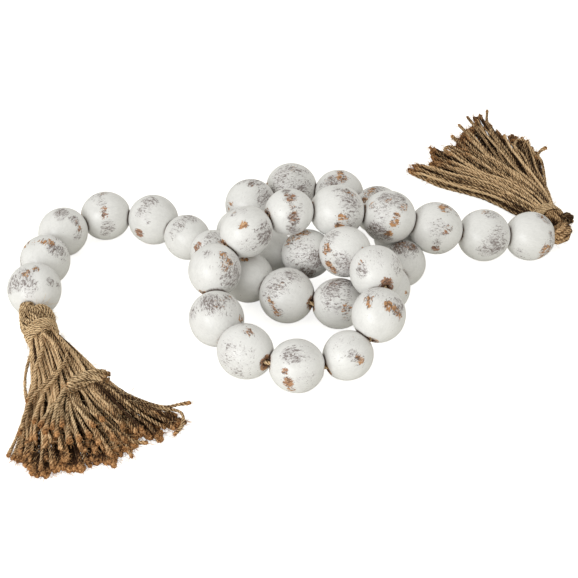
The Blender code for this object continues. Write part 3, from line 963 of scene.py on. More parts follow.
print("outline points:", len(ply_outline.data.splines[0].points))

# %% [markdown]
# A strand is kept as a few rows of numbers, one for each step: its place, its radius, its
# turns so far, its tint and how near its tip is. All frayed tips end in the same middle
# tone, however dark their strand is.

# %% A strand's numbers
STEP = 1.1 * MM
TWIST_LENGTH = 9 * MM
TIP_TINT = 0.45


def strand(points, radius, tint=0.5, swell=None, tip=0.0, step=STEP, twist=TWIST_LENGTH, phase=0.0):
    """One strand as a dictionary: its even line, its radii and what its points carry."""
    line, travelled = even_route(points, step)
    widths = np.ones(len(line)) if swell is None else swell(travelled, travelled[-1])
    near_tip = np.zeros(len(line))
    if tip:
        near_tip = np.clip((travelled - travelled[-1] + tip) / tip, 0, 1)
    turns = travelled / twist + phase
    return {
        "line": line, "travelled": travelled, "radius": widths * radius,
        "turns": turns, "tint": tint + (TIP_TINT - tint) * near_tip, "tip": near_tip,
    }


short_strand = strand([Vector((0, 0, 0)), Vector((0, 0, 20 * MM))], MM)
print("steps in 20 mm of strand:", len(short_strand["line"]))

# %% [markdown]
# Blender sweeps the outline as a curve's bevel, and the curve's tilt turns it a little at
# every step. The curve is then made a mesh, so that each point can carry the numbers
# that its material reads, and its ends are closed. Each strand's numbers are shifted a
# little, so that no two show the same fibres.

# %% Sweep the strands
LAID_SHIFT = 0.3


def sweep(name, strands, outline):
    """Sweep the outline along every strand; the mesh's points carry their numbers."""
    curve = bpy.data.curves.new(name, "CURVE")
    curve.dimensions = "3D"
    curve.bevel_mode = "OBJECT"
    curve.bevel_object = outline
    profile = np.array([tuple(p.co)[:2] for p in outline.data.splines[0].points])
    sides = len(profile)
    laid, tint, tip = [], [], []
    for number, item in enumerate(strands):
        count = len(item["line"])
        spline = curve.splines.new("POLY")
        spline.points.add(count - 1)
        spline.points.foreach_set("co", np.column_stack([item["line"], np.ones(count)]).ravel())
        spline.points.foreach_set("tilt", item["turns"] * math.tau)
        spline.points.foreach_set("radius", item["radius"])
        across = profile[None, :, :] * item["radius"][:, None, None]
        along = np.repeat(item["travelled"][:, None, None], sides, axis=1) + number * LAID_SHIFT
        laid.append(np.concatenate([across, along], axis=2).reshape(-1, 3))
        tint.append(np.repeat(item["tint"], sides))
        tip.append(np.repeat(item["tip"], sides))
    guide = bpy.data.objects.new(name, curve)
    for obj in (guide, outline):
        bpy.context.scene.collection.objects.link(obj)
    swept = guide.evaluated_get(bpy.context.evaluated_depsgraph_get())
    mesh = bpy.data.meshes.new_from_object(swept)
    bpy.context.scene.collection.objects.unlink(outline)
    bpy.data.objects.remove(guide, do_unlink=True)
    write_attribute(mesh, "laid", np.concatenate(laid))
    write_attribute(mesh, "tint", np.concatenate(tint))
    write_attribute(mesh, "tip", np.concatenate(tip))
    bm = bmesh.new()
    bm.from_mesh(mesh)
    ends = [edge for edge in bm.edges if edge.is_boundary]
    bmesh.ops.holes_fill(bm, edges=ends, sides=sides)
    bmesh.ops.recalc_face_normals(bm, faces=bm.faces)
    bm.to_mesh(mesh)
    bm.free()
    return mesh


print("a strand's point carries: laid, tint, tip")

# %% [markdown]
# ## The string
#
# One twisted jute string runs through all the balls. It could be a short piece in each
# gap, but one line keeps its twist going. It shows only in the nicks between the balls,
# where it passes from one lip to the next, so that is where its line bends.

# %% Lay the string
STRING_RADIUS = 1.6 * MM
STRING_STEP = 1.8 * MM
STRING_TINT = 0.9
LIP_INSET = 1.5 * MM


def string_line():
    points = [LEFT_NECK]
    for centre, bore, radius in zip(centres, bores, radii):
        to_lip = bore * (radius - LIP_INSET)
        points += [centre - to_lip, centre, centre + to_lip]
    return points + [RIGHT_NECK]


string_strand = strand(string_line(), STRING_RADIUS, tint=STRING_TINT, step=STRING_STEP)
string_mesh = sweep("string", [string_strand], ply_outline)
finish_piece("string", string_mesh, jute_string, "jute_string", "string")
print("string faces:", len(string_mesh.polygons))

# %% [markdown]
# ## The tassels' plan
#
# A tassel is a hank of jute laid over the string's end, doubled, and bound with twine
# just below the fold. Its strands lie on the table in a fan. They could be dropped there
# by a cloth or hair simulation, but wouldn't fall as they do in the photo, so each
# tassel has a plan. It is in millimetres from the ball beside it and in degrees:
#
# - head: its outlines as they leave the ball, as a middle and two half widths;
#   fold_shade is how dark its fold is painted, as shade.
# - apex: the point that the fan spreads from; heading: the way it points; waist: how far
#   from the apex the binding starts and ends.
# - edges: the angles of the fan's two edges at growing distances; tips: how far it
#   reaches at each angle; pile: how high it is heaped at growing distances.
# - layers: the heap from the table up. Each has a number of strands, how high they lie,
#   how much shorter they are, their darkest and palest tint, and how thick they are. The
#   tints run darker low in the heap, as painted shade, and paler on top, as painted light.
# - swing: how far the upper strands lie across the lower ones; twist: how loose their
#   plies are; flares: how much a cut tip swells.
# - tint: how pale the whole tassel is; front_pale: how much paler the edge toward the
#   light is painted, as painted light.

# %% Tassel plan
LEFT = {
    "ball": packed_centres[0],
    "fold_shade": 0.2,
    "head": [
        (-3.6, -20.0, 23.0, 4.6, 4.6),
        (-2.6, -24.0, 20.6, 6.4, 6.6),
        (0.8, -29.0, 17.6, 9.2, 10.2),
        (4.0, -34.0, 15.6, 11.2, 12.0),
        (6.6, -39.0, 15.0, 11.4, 12.0),
    ],
    "apex": (3, -28),
    "heading": -67,
    "waist": (15.0, 28.0),
    "edges": [
        (25, -43.5, -89.5), (40, -43.2, -88), (57, -43.8, -86), (75, -44.5, -85.5),
        (94, -45, -86.5), (115, -44.5, -88), (133, -42.2, -88.3), (165, -40, -90),
    ],
    "tips": [
        (-90, 147), (-87, 148), (-85, 156), (-82, 169), (-79, 166), (-77, 161), (-74, 166),
        (-71, 168), (-68, 161), (-64, 172), (-61, 161), (-58, 166), (-54, 151), (-50, 168),
        (-47, 154), (-44, 167), (-40, 158),
    ],
    "layers": [
        dict(strands=56, levels=(0.0, 0.12), shorter=(0, 5), tones=(-1.5, -0.4), wide=1.12),
        dict(strands=46, levels=(0.34, 0.6), shorter=(4, 18), tones=(-1.3, 0.6), wide=0.92),
        dict(strands=30, levels=(0.8, 1.0), shorter=(14, 36), tones=(0.3, 1.5), wide=0.9),
    ],
    "swing": 0.18,
    "twist": 1.0,
    "flares": (1.5, 2.5),
    "pile": ((16, 22), (30, 21), (46, 19.5), (65, 17.5), (95, 15), (130, 13), (220, 10.5)),
    "tint": 0.0,
    "front_pale": 0.0,
}
RIGHT = {
    "ball": packed_centres[-1],
    "fold_shade": 1.1,
    "head": [
        (17.4, -0.3, 20.6, 5.6, 6.2),
        (20.4, 0.0, 20.6, 7.0, 6.9),
        (23.6, 2.6, 20.5, 7.4, 7.0),
        (26.0, 6.8, 19.2, 7.8, 7.9),
        (27.0, 12.2, 15.8, 7.0, 7.8),
        (25.2, 18.6, 14.8, 8.8, 9.6),
        (22.0, 26.0, 14.6, 11.2, 11.4),
    ],
    "apex": (25, 12),
    "heading": 107.75,
    "waist": (17.0, 31.0),
    "edges": [
        (25, 89.5, 126), (50, 88, 125), (70, 88.5, 125.8), (91, 89.5, 128.7), (111, 89.5, 133),
        (128, 89, 135.6), (145, 89.5, 136.8), (220, 88, 137),
    ],
    "tips": [
        (88, 139), (91, 153), (93, 167), (97, 178), (99, 168), (101, 190), (102.4, 212), (103.7, 219),
        (105, 211), (106.5, 198), (109, 196), (111, 190), (113, 184), (115, 178), (117, 172),
        (119.5, 160), (121, 176), (122.5, 182), (125, 168), (127, 160), (130, 160), (131.5, 172),
        (134, 167), (136.5, 168), (138, 166),
    ],
    "layers": [
        dict(strands=66, levels=(0.0, 0.14), shorter=(0, 6), tones=(-1.4, -0.4), wide=1.16),
        dict(strands=50, levels=(0.34, 0.62), shorter=(3, 16), tones=(-1.5, 0.5), wide=0.92),
        dict(strands=31, levels=(0.8, 1.0), shorter=(6, 30), tones=(0.1, 1.4), wide=0.92),
    ],
    "swing": 0.4,
    "twist": 1.6,
    "flares": (1.0, 1.6),
    "pile": ((16, 22), (30, 21), (46, 20), (65, 18.5), (95, 17), (130, 14.5), (220, 10)),
    "tint": -0.05,
    "front_pale": 0.35,
}
print("strands planned:", sum(layer["strands"] for plan in (LEFT, RIGHT) for layer in plan["layers"]))

# %% [markdown]
# The plan is read through a few helpers: a place beside the ball, a direction, an angle
# across the fan, and the two ends of the bound waist, which rests on the table. The
# waist is a little wider at the head's side than at the fan's.

# %% Read the plan
WAIST_RADII = (11.0, 9.6)
TWINE_RADIUS = 1.25
WAIST_LIFT = 0.7


def heading_at(degrees):
    angle = math.radians(degrees)
    return Vector((math.cos(angle), math.sin(angle), 0))


def fan_angle(plan, across, distance):
    """The angle of a place across the fan, between its two edges at that distance."""
    places, first, last = zip(*plan["edges"])
    start = float(np.interp(distance, places, first))
    end = float(np.interp(distance, places, last))
    return start + (end - start) * across


def from_ball(plan, dx, dy, z):
    ball = plan["ball"]
    return Vector((ball.x + dx * MM, ball.y + dy * MM, z * MM))


def apex_of(plan):
    return from_ball(plan, *plan["apex"], 0)


def waist_ends(plan):
    """Middle of the hank where its binding starts and ends, resting on the table."""
    middle = heading_at(plan["heading"])
    places = []
    for distance, radius in zip(plan["waist"], WAIST_RADII):
        place = apex_of(plan) + middle * distance * MM
        place.z = (radius + 2 * TWINE_RADIUS + WAIST_LIFT) * MM
        places.append(place)
    return places


print("left waist, mm:", [[round(v / MM) for v in place] for place in waist_ends(LEFT)])

# %% [markdown]
# ## The fan
#
# Over a hundred strands leave each waist. They start inside the binding and spread into
# a heap, which sinks toward its tips and its two edges. A strand is squeezed where it
# leaves the binding and never quite even. It opens up where it is cut, so it swells
# there, and the lowest ones are pressed wide by the weight of the rest.

# %% Shape of the heap
STRAND_RADIUS = 1.4 * MM
WAIST_INSET = 0.8
EDGE_SINKS = 0.4
SPREAD_EARLY, SPREAD_OVER = 4, 40
SQUEEZED_LENGTH = 30 * MM
PRESSED_LENGTH = 110 * MM
FLARE_LENGTH, FLARE_POWER = 13 * MM, 1.3
ROUND_LENGTH, END_WIDTH = 2.6 * MM, 0.5
WOBBLES, WOBBLE = 30, 0.16


def smooth(t):
    t = min(max(t, 0), 1)
    return t * t * (3 - 2 * t)


def pile_height(plan, distance):
    """Height of the heap of strands at a distance from the fan's apex, in mm."""
    places, heights = zip(*plan["pile"])
    return float(np.interp(distance, places, heights))


def fan_place(plan, across, level, lift, distance):
    """A point of the fan; across runs 0 to 1, level is 0 on the table and 1 on top."""
    place = apex_of(plan) + heading_at(fan_angle(plan, across, distance)) * distance * MM
    in_waist = waist_ends(plan)[1].z / MM + lift * (WAIST_RADII[1] - WAIST_INSET)
    width = STRAND_RADIUS / MM
    edge = 1 - EDGE_SINKS * abs(2 * across - 1) ** 3
    in_pile = width + level * (pile_height(plan, distance) * edge - 2 * width)
    share = smooth((distance - plan["waist"][1] + SPREAD_EARLY) / SPREAD_OVER)
    place.z = (in_waist + (in_pile - in_waist) * share) * MM
    return place


def frayed_swell(chance, flare, squeezed=1.0, pressed=1.0):
    """Radius along a strand: squeezed at the waist, swollen and rounded at its tip."""
    wobble = [chance.uniform(-WOBBLE, WOBBLE) for _ in range(WOBBLES)]

    def swell(travelled, length):
        left = length - travelled
        size = 1 + (squeezed - 1) * np.clip(1 - travelled / SQUEEZED_LENGTH, 0, 1)
        size = size * (1 + (pressed - 1) * np.clip(travelled / PRESSED_LENGTH, 0, 1))
        size = size + (flare - 1) * np.clip(1 - left / FLARE_LENGTH, 0, 1) ** FLARE_POWER
        size = size * np.clip(END_WIDTH + left / ROUND_LENGTH, END_WIDTH, 1)
        return size * (1 + np.interp(travelled, np.linspace(0, length, WOBBLES), wobble))

    return swell


print("heap above the left waist, mm:", pile_height(LEFT, LEFT["waist"][1]))

# %% [markdown]
# A real hank's strands cross, so a strand drifts from its place at the waist to another
# one, and sways a little as it goes. Its way is given by points at set distances past the
# waist, and three more up to its tip. The upper strands lie looser, so they sway more.

# %% A strand's way
FAN_STOPS = (-8, 0, 10, 24, 40, 58, 76, 94)
LAST_STOPS, LAST_GAP = 3, 14
DRIFT_EARLY, DRIFT_OVER = 30, 80
SWAY_LEAST, SWAY_MOST, SWAY_MORE = 0.1, 0.3, 3
SWAY_LENGTH = 15
RISE, RISE_LENGTH = 0.7, 13


def fan_route(plan, across, drift, level, loose, reach, chance):
    """Points from inside the binding to the tip, drifting and swaying on the way."""
    sway = chance.uniform(SWAY_LEAST, SWAY_MOST + SWAY_MORE * loose)
    phase = chance.uniform(0, math.tau)
    lift = (2 * level - 1) * math.sqrt(1 - (2 * across - 1) ** 2)
    stops = [plan["waist"][1] + stop for stop in FAN_STOPS]
    points = []
    for distance in [*stops, *np.linspace(stops[-1] + LAST_GAP, reach, LAST_STOPS)]:
        if distance > reach:
            continue
        share = smooth((distance - DRIFT_EARLY) / DRIFT_OVER)
        here = across + (drift - across) * share
        place = fan_place(plan, here, level, lift, distance)
        side = heading_at(fan_angle(plan, here, distance) + 90)
        place += side * math.sin(distance / SWAY_LENGTH + phase) * sway * share * MM
        rise = math.cos(distance / RISE_LENGTH + phase) * RISE * share * MM
        place.z = max(place.z + rise, STRAND_RADIUS)
        points.append(place)
    return points


print("points of a strand's way:", len(FAN_STOPS) + LAST_STOPS)

# %% [markdown]
# Within a layer the strands lie side by side, each pushed about by chance. The upper ones
# swing to one side over the lower ones. They end sooner, because they travel over the
# heap, and keep more of their hard twist. Strands low in the heap get darker tints, as
# painted shade, and the upper ones paler tints, as painted light. Near the waist some
# strands sink between the others and are painted darker there, as shade. Little shows of
# the lower strands, so they are cut into longer steps.

# %% Fan strands
TIPS_READ_AT = 150
SIDE_CHANCE = 0.3
LOOSE_FROM = 0.14
DRIFT_LEAST, DRIFT_MORE = 0.003, 0.05
TIP_DROOP = 3 * MM
TIP_LENGTHS = (8, 18)
THICKNESS = (0.85, 1.15)
TWISTS = (0.9, 1.2)
SQUEEZE = 0.8
UPPER_FROM = 0.3
UPPER_THIN = 0.88
LOWER_TWIST = 2
LOWER_STEP, UPPER_STEP = 2.0 * MM, 1.1 * MM
TONE_SPREAD = 0.35
FRONT_FROM = 0.8
LOWER_PALE = 3
FAN_WARMTH = 0.13
UPPER_COOLS = 0.6
SUNK_SHADE_AT, SUNK_SHADE_REACH = 22 * MM, 18 * MM
SUNK_SHADE_SHARES = (0, 0, 0.6, 2.4)


def fan_strand(plan, across, layer, chance):
    level = chance.uniform(*layer["levels"])
    upper = level > UPPER_FROM
    loose = max(level - LOOSE_FROM, 0)
    drift = across ** (1 - plan["swing"] * level)
    drift = min(max(drift + chance.gauss(0, DRIFT_LEAST + DRIFT_MORE * loose), 0), 1)
    reach = float(np.interp(fan_angle(plan, drift, TIPS_READ_AT), *zip(*plan["tips"])))
    reach -= chance.uniform(*layer["shorter"])
    points = fan_route(plan, across, drift, level, loose, reach, chance)
    flare = chance.uniform(*plan["flares"])
    points[-1].z = max(points[-1].z - TIP_DROOP * level, STRAND_RADIUS * flare)
    # Painted shade and light: the lower a strand lies in the heap, the darker its tint.
    tone = np.interp(level, layer["levels"], layer["tones"]) + plan["tint"]
    tone += chance.uniform(-TONE_SPREAD, TONE_SPREAD)
    # Painted light: the fan's front edge, toward the light, is made paler.
    in_front = smooth((across - FRONT_FROM) / (1 - FRONT_FROM))
    tone += plan["front_pale"] * (1 if upper else LOWER_PALE) * in_front
    item = strand(
        smooth_route(points),
        STRAND_RADIUS * chance.uniform(*THICKNESS) * (UPPER_THIN if upper else 1),
        tint=tone,
        swell=frayed_swell(chance, flare, SQUEEZE, layer["wide"]),
        tip=chance.uniform(*TIP_LENGTHS) * MM,
        phase=chance.random(),
        twist=TWIST_LENGTH * chance.uniform(*TWISTS) * (plan["twist"] if upper else LOWER_TWIST),
        step=UPPER_STEP if upper else LOWER_STEP,
    )
    warmth = item["tip"] * (1 - UPPER_COOLS * level * chance.random())
    item["tip"] = np.maximum(warmth, FAN_WARMTH)
    # Painted shade near the waist, on strands that sink between the others.
    sunk_shade = np.exp(-((item["travelled"] - SUNK_SHADE_AT) / SUNK_SHADE_REACH) ** 2)
    item["tint"] = item["tint"] - sunk_shade * chance.choice(SUNK_SHADE_SHARES)
    return item


def make_fan(plan, chance):
    strands = []
    for layer in plan["layers"]:
        for k in range(layer["strands"]):
            across = (k + 0.5 + chance.uniform(-SIDE_CHANCE, SIDE_CHANCE)) / layer["strands"]
            strands.append(fan_strand(plan, across, layer, chance))
    return strands


fan_chance = random.Random(68)
left_fan, right_fan = make_fan(LEFT, fan_chance), make_fan(RIGHT, fan_chance)
print("fan strands:", len(left_fan) + len(right_fan))

# %% [markdown]
# A few strands stray from the heap, and the photo shows them clearly: single ends that
# stick out, and cut loops that nobody snipped. Some darker ones come out from under the
# left tassel's loose end and lie over the gaps beside it. Their lines are given point by
# point, in millimetres from the ball beside the tassel.

# %% Stray strands
LEFT_STRAYS = [
    [(20, -62, 12), (48, -87.5, 9), (66, -99, 7), (82, -108.5, 6.5), (98, -117.5, 6.5),
     (110, -121.8, 7), (119, -121.4, 9), (128.5, -121.4, 11)],
    [(22, -66, 12), (52, -96, 9), (84, -114, 6), (104, -122.5, 6), (114, -124.5, 7),
     (121, -128.5, 8), (123.5, -135, 8), (122.5, -142, 6), (117, -149, 4)],
    [(52, -108, 6), (72, -136, 5), (86, -154, 5), (92, -157.5, 5), (99.5, -157.8, 5)],
    [(56, -118, 5), (76, -148, 4), (85, -162, 3.5), (89, -171.5, 3)],
    [(6, -50, 14), (4, -66, 10), (2.5, -84, 7), (4, -100, 5), (8, -117, 4), (9, -134, 4)],
    [(19, -48, 24), (24, -58, 24), (30, -68, 22.5), (34, -80, 20.5), (31, -91, 19), (24, -103, 18),
     (16, -116, 16.5), (11, -126, 14), (9, -143, 12), (8, -155, 11)],
    [(14, -52, 25), (15, -59, 25), (22, -67, 24), (27, -79, 22), (30, -89, 20), (28, -101, 18),
     (22, -114, 17), (18, -130, 14), (17, -146, 13)],
    [(16, -50, 25), (13, -62, 24), (15, -76, 22), (12, -92, 19), (13, -108, 16), (9, -124, 13)],
    [(9, -90, 8), (8, -115, 5), (6.5, -134, 3), (4, -152, 3), (0.5, -170, 2.5)],
    [(11, -90, 8), (9, -118, 4), (8, -138, 3), (6, -156, 2.5), (4, -173, 2.5)],
    [(12, -90, 6), (11, -120, 4), (9.5, -140, 2.5), (8, -158, 2.5), (7.5, -173, 2.5)],
]
LEFT_UNDER_TAIL = [
    [(50, -101, 14), (58, -110, 16.5), (69, -124, 14.5), (76, -137, 12), (81, -147, 9)],
    [(52, -101, 14), (60, -109, 16.5), (71, -121, 14.5), (83, -135, 12), (95, -148, 8)],
    [(54, -100, 14), (63, -108, 16.5), (75, -121, 14.5), (89, -135, 11), (99, -143, 8), (106, -153, 6)],
    [(56, -100, 14), (64, -108, 16.5), (79, -122, 14.5), (94, -134, 10), (105, -140, 7),
     (111, -143, 5)],
    [(58, -99, 13), (65, -108, 16), (81, -120, 13.5), (98, -131, 10), (111, -137, 7), (118, -144, 5)],
    [(60, -99, 12), (66, -107, 15.5), (82, -117, 13), (99, -126, 10), (112, -131, 7), (120, -139, 5)],
    [(43, -140, 7), (49, -155.5, 5), (54, -169, 4), (57.5, -177, 3)],
    [(59.5, -137, 7), (65.5, -147, 5.5), (71, -157, 4.5), (76.5, -166.5, 4)],
]
RIGHT_STRAYS = [
    [(12, 56, 16), (-2, 92, 13), (-10, 135, 11), (-12, 170, 10), (-16, 196, 9), (-14, 219, 9)],
    [(14, 60, 14), (-10, 100, 12), (-36, 132, 11), (-47, 148, 10), (-55, 156, 9), (-59, 151, 8),
     (-55, 144, 8), (-47, 142, 6)],
    [(20, 56, 14), (24, 90, 11), (26, 125, 10), (24, 140, 10), (28, 148, 10), (33, 151, 11)],
    [(18, 56, 14), (12, 100, 12), (6, 140, 11), (5, 158, 9), (9, 167, 9), (15, 165, 9), (20, 152, 8),
     (23, 138, 7)],
    [(6, 70, 15), (-10, 120, 12), (-22, 168, 10), (-28, 190, 9), (-34, 208, 9)],
    [(4, 70, 14), (-16, 120, 12), (-31, 162, 10), (-38, 182, 9), (-43, 194, 9)],
    [(-2, 70, 12), (-24, 118, 11), (-40, 152, 9), (-47, 166, 9), (-51, 174, 9)],
]
STRAY_TINTS = (0.3, 0.9)
STRAY_FLARES = (1.2, 1.6)
STRAY_TIP = 7 * MM
UNDER_TAIL_DARK = (0.2, 1.5)


def stray(plan, line, chance, dark=0.0):
    """A strand through a line of places beside the ball."""
    points = [from_ball(plan, *place) for place in line]
    item = strand(
        smooth_route(points),
        STRAND_RADIUS,
        tint=chance.uniform(*STRAY_TINTS) + plan["tint"] - dark,
        swell=frayed_swell(chance, chance.uniform(*STRAY_FLARES)),
        tip=STRAY_TIP,
        phase=chance.random(),
    )
    item["tip"] = np.maximum(item["tip"], FAN_WARMTH)
    return item


left_fan += [stray(LEFT, line, fan_chance) for line in LEFT_STRAYS]
left_fan += [
    stray(LEFT, line, fan_chance, fan_chance.uniform(*UNDER_TAIL_DARK)) for line in LEFT_UNDER_TAIL
]
right_fan += [stray(RIGHT, line, fan_chance) for line in RIGHT_STRAYS]
print("stray strands:", len(LEFT_STRAYS) + len(LEFT_UNDER_TAIL) + len(RIGHT_STRAYS))

# %% [markdown]
# ## The head
#
# Above the waist the strands close over the fold. Everything there follows the plan's
# outlines, from the ball into the binding. Each outline stands square to the line of
# their middles, so that a rib or a skin keeps its shape round the bend.

# %% Outlines of the head


def head_rows(plan):
    """Middle and half sizes of the head's outlines, from the ball into the fan."""
    rows = [(from_ball(plan, *row[:3]), row[3], row[4]) for row in plan["head"]]
    for place, radius in zip(waist_ends(plan), WAIST_RADII):
        rows.append((place, radius, radius))
    return rows


def row_frames(middles):
    """Each middle with a side and a rise that are square to the line of the middles."""
    frames = []
    for i, middle in enumerate(middles):
        ahead = (middles[min(i + 1, len(middles) - 1)] - middles[max(i - 1, 0)]).normalized()
        side = ahead.cross(UP).normalized()
        frames.append((middle, side, side.cross(ahead)))
    return frames


print("outlines of the heads:", len(head_rows(LEFT)), len(head_rows(RIGHT)))

# %% [markdown]
# The strands show as ribs that run from the ball round the bulge and into the binding, a
# little twisted, some standing out from the rest. Where a head folds, the ribs are
# painted darker, as shade in the fold, most of all on the right one.

# %% Head ribs
HEAD_RIBS = 24
RIB_TWIST = 0.8
RIB_WANDER = 0.07
RIB_STANDS_OUT = 0.9
RIB_INSET = 0.8
RIB_TINTS = (0.3, 1.3)
FOLD_AT, FOLD_REACH = 0.42, 0.1


def head_rib(plan, turn, chance):
    """One rib round the head, at its turn about the line of middles."""
    rows = head_rows(plan)
    stand_out = chance.uniform(-RIB_STANDS_OUT, RIB_STANDS_OUT)
    points = []
    for i, (middle, side, rise) in enumerate(row_frames([row[0] for row in rows])):
        angle = turn + RIB_TWIST * i / len(rows) + chance.uniform(-RIB_WANDER, RIB_WANDER)
        bulge = math.sin(math.pi * min(i / (len(rows) - 2), 1)) * stand_out - RIB_INSET
        across = side * math.cos(angle) * (rows[i][1] + bulge)
        points.append(middle + (across + rise * math.sin(angle) * (rows[i][2] + bulge)) * MM)
    rib = strand(
        smooth_route(points), STRAND_RADIUS, tint=chance.uniform(*RIB_TINTS) + plan["tint"],
        phase=chance.random(), twist=TWIST_LENGTH * chance.uniform(*TWISTS),
    )
    along = rib["travelled"] / rib["travelled"][-1]
    # Painted shade in the fold.
    rib["tint"] = rib["tint"] - plan["fold_shade"] * np.exp(-((along - FOLD_AT) / FOLD_REACH) ** 2)
    return rib


def make_head(plan, chance):
    return [head_rib(plan, math.tau * k / HEAD_RIBS, chance) for k in range(HEAD_RIBS)]


head_chance = random.Random(26)
left_head, right_head = make_head(LEFT, head_chance), make_head(RIGHT, head_chance)
print("head ribs:", len(left_head) + len(right_head))

# %% [markdown]
# Behind the ribs is a solid core, so that no light passes between them; its very dark
# colour is painted shade between the ribs. Its skin is a ring of points in each outline,
# bridged to the next, with both ends filled.

# %% Head cores
CORE_INSET = 2.2
CORE_POINTS = 20
CORE_SHADE_TONE = (0.05, 0.03, 0.015, 1)
CORE_ROUGHNESS = 0.95


def core_mesh(name, plan):
    """A closed skin through the head's outlines, a little inside the ribs."""
    rows = head_rows(plan)
    bm = bmesh.new()
    rings = []
    for (middle, side, rise), row in zip(row_frames([row[0] for row in rows]), rows):
        ring = []
        for k in range(CORE_POINTS):
            angle = math.tau * k / CORE_POINTS
            offset = side * math.cos(angle) * (row[1] - CORE_INSET)
            offset += rise * math.sin(angle) * (row[2] - CORE_INSET)
            ring.append(bm.verts.new(middle + offset * MM))
        rings.append([bm.edges.new(pair) for pair in zip(ring, ring[1:] + ring[:1])])
    for ring, following in zip(rings, rings[1:]):
        bmesh.ops.bridge_loops(bm, edges=ring + following)
    open_edges = [edge for edge in bm.edges if edge.is_boundary]
    bmesh.ops.holes_fill(bm, edges=open_edges, sides=CORE_POINTS)
    bmesh.ops.recalc_face_normals(bm, faces=bm.faces)
    mesh = bpy.data.meshes.new(name)
    bm.to_mesh(mesh)
    bm.free()
    return mesh


jute_core, _, core_shader = new_material("jute_core")
# Painted shade: the core is coloured almost black.
core_shader.inputs["Base Color"].default_value = CORE_SHADE_TONE
core_shader.inputs["Roughness"].default_value = CORE_ROUGHNESS
for side_name, plan in (("left", LEFT), ("right", RIGHT)):
    core = core_mesh(f"head_core_{side_name}", plan)
    finish_piece(f"head_core_{side_name}", core, jute_core, "jute_tassel")
    print("core faces:", side_name, len(core.polygons))

# %% [markdown]
# On the left the fold is opened into two lobes. A second bundle comes out of the top of
# the head, arches over to the right, and goes down into the binding, with one strand at
# its heart. On the right the string's knot sits on the far side of the bend, dark and
# hard, and the whole head is darker and browner than the left one.

# %% Folded lobe and knot
LOBE_LINE = [(3, -27, 22), (7, -26.5, 22.5), (11.5, -29, 21.5), (14.5, -34, 18.5), (15.5, -41, 15)]
LOBE_WIDTHS = (2.4, 3.8, 4.6, 4.8, 3.6)
LOBE_STRANDS = 11
HEART_SHARE = 0.3
KNOT_LINE = [
    (26, 22, 21), (29.5, 20, 26.5), (33.5, 19.5, 27), (35.5, 20.5, 23), (34, 22, 19), (29, 25, 18),
]
KNOT_WIDTH = 1.7
KNOT_STRANDS = 3
KNOT_DARK = 1.2
BUNDLE_TWIST = 0.35
BUNDLE_TINTS = (0.2, 1.0)
RIGHT_HEAD_WARMTH = 0.3
RIGHT_HEAD_SHADE = 0.25


def bundle_strand(plan, line, widths, turn, chance, dark=0.0):
    """One strand of a bundle that follows a line, at a turn around it."""
    middles = [from_ball(plan, *place) for place in line]
    points = []
    for i, (middle, side, rise) in enumerate(row_frames(middles)):
        angle = turn + BUNDLE_TWIST * i
        points.append(middle + (side * math.cos(angle) + rise * math.sin(angle)) * widths[i] * MM)
    return strand(
        smooth_route(points), STRAND_RADIUS, tint=chance.uniform(*BUNDLE_TINTS) - dark,
        phase=chance.random(), twist=TWIST_LENGTH * chance.uniform(*TWISTS),
    )


left_head += [
    bundle_strand(LEFT, LOBE_LINE, LOBE_WIDTHS, math.tau * k / LOBE_STRANDS, head_chance)
    for k in range(LOBE_STRANDS)
]
heart_widths = [width * HEART_SHARE for width in LOBE_WIDTHS]
left_head.append(bundle_strand(LEFT, LOBE_LINE, heart_widths, 0, head_chance))
for rib in right_head:
    rib["tip"][:] = RIGHT_HEAD_WARMTH
    rib["tint"] = rib["tint"] - RIGHT_HEAD_SHADE
knot_widths = (KNOT_WIDTH,) * len(KNOT_LINE)
right_head += [
    bundle_strand(RIGHT, KNOT_LINE, knot_widths, math.tau * k / KNOT_STRANDS, head_chance, KNOT_DARK)
    for k in range(KNOT_STRANDS)
]
print("strands in the heads:", len(left_head), len(right_head))

# %% [markdown]
# ## The binding
#
# The waist is whipped with one length of twine, laid on in close turns. Six rings would
# look too neat, so it is one uneven helix: the turns lean a little, and some ride over
# their neighbours.

# %% Wind the bindings
BINDING_TURNS = 6
WINDING_POINTS = 28
WINDING_LEAN = 0.12
WINDING_FROM, WINDING_SHARE = 0.05, 0.9
WINDING_TINT = 0.8
UNEVEN_PLACES = 5 * BINDING_TURNS
WANDER = 0.7
RIDE = (-0.5, 0.9)


def between(values, t):
    """Read an evenly spaced row of values at t from 0 to 1."""
    place = min(max(t, 0), 1) * (len(values) - 1)
    index = min(int(place), len(values) - 2)
    return values[index] + (values[index + 1] - values[index]) * (place - index)


def winding(plan, chance):
    """The twine's way round the waist, a helix with uneven turns."""
    start, end = waist_ends(plan)
    ahead = (end - start).normalized()
    side = ahead.cross(UP).normalized()
    rise = side.cross(ahead)
    wander = [chance.uniform(-WANDER, WANDER) for _ in range(UNEVEN_PLACES)]
    ride = [chance.uniform(*RIDE) for _ in range(UNEVEN_PLACES)]
    points = []
    for i in range(BINDING_TURNS * WINDING_POINTS + 1):
        share = i / (BINDING_TURNS * WINDING_POINTS)
        angle = math.tau * i / WINDING_POINTS
        radius = between(WAIST_RADII, share) + TWINE_RADIUS + between(ride, share)
        lean = WINDING_LEAN * math.cos(angle) * radius + between(wander, share)
        along = (end - start).length * (WINDING_FROM + WINDING_SHARE * share) + lean * MM
        offset = side * math.cos(angle) + rise * math.sin(angle)
        points.append(start + ahead * along + offset * radius * MM)
    route = smooth_route(points, steps=2)
    return strand(route, TWINE_RADIUS * MM, tint=WINDING_TINT + plan["tint"], phase=0.2)


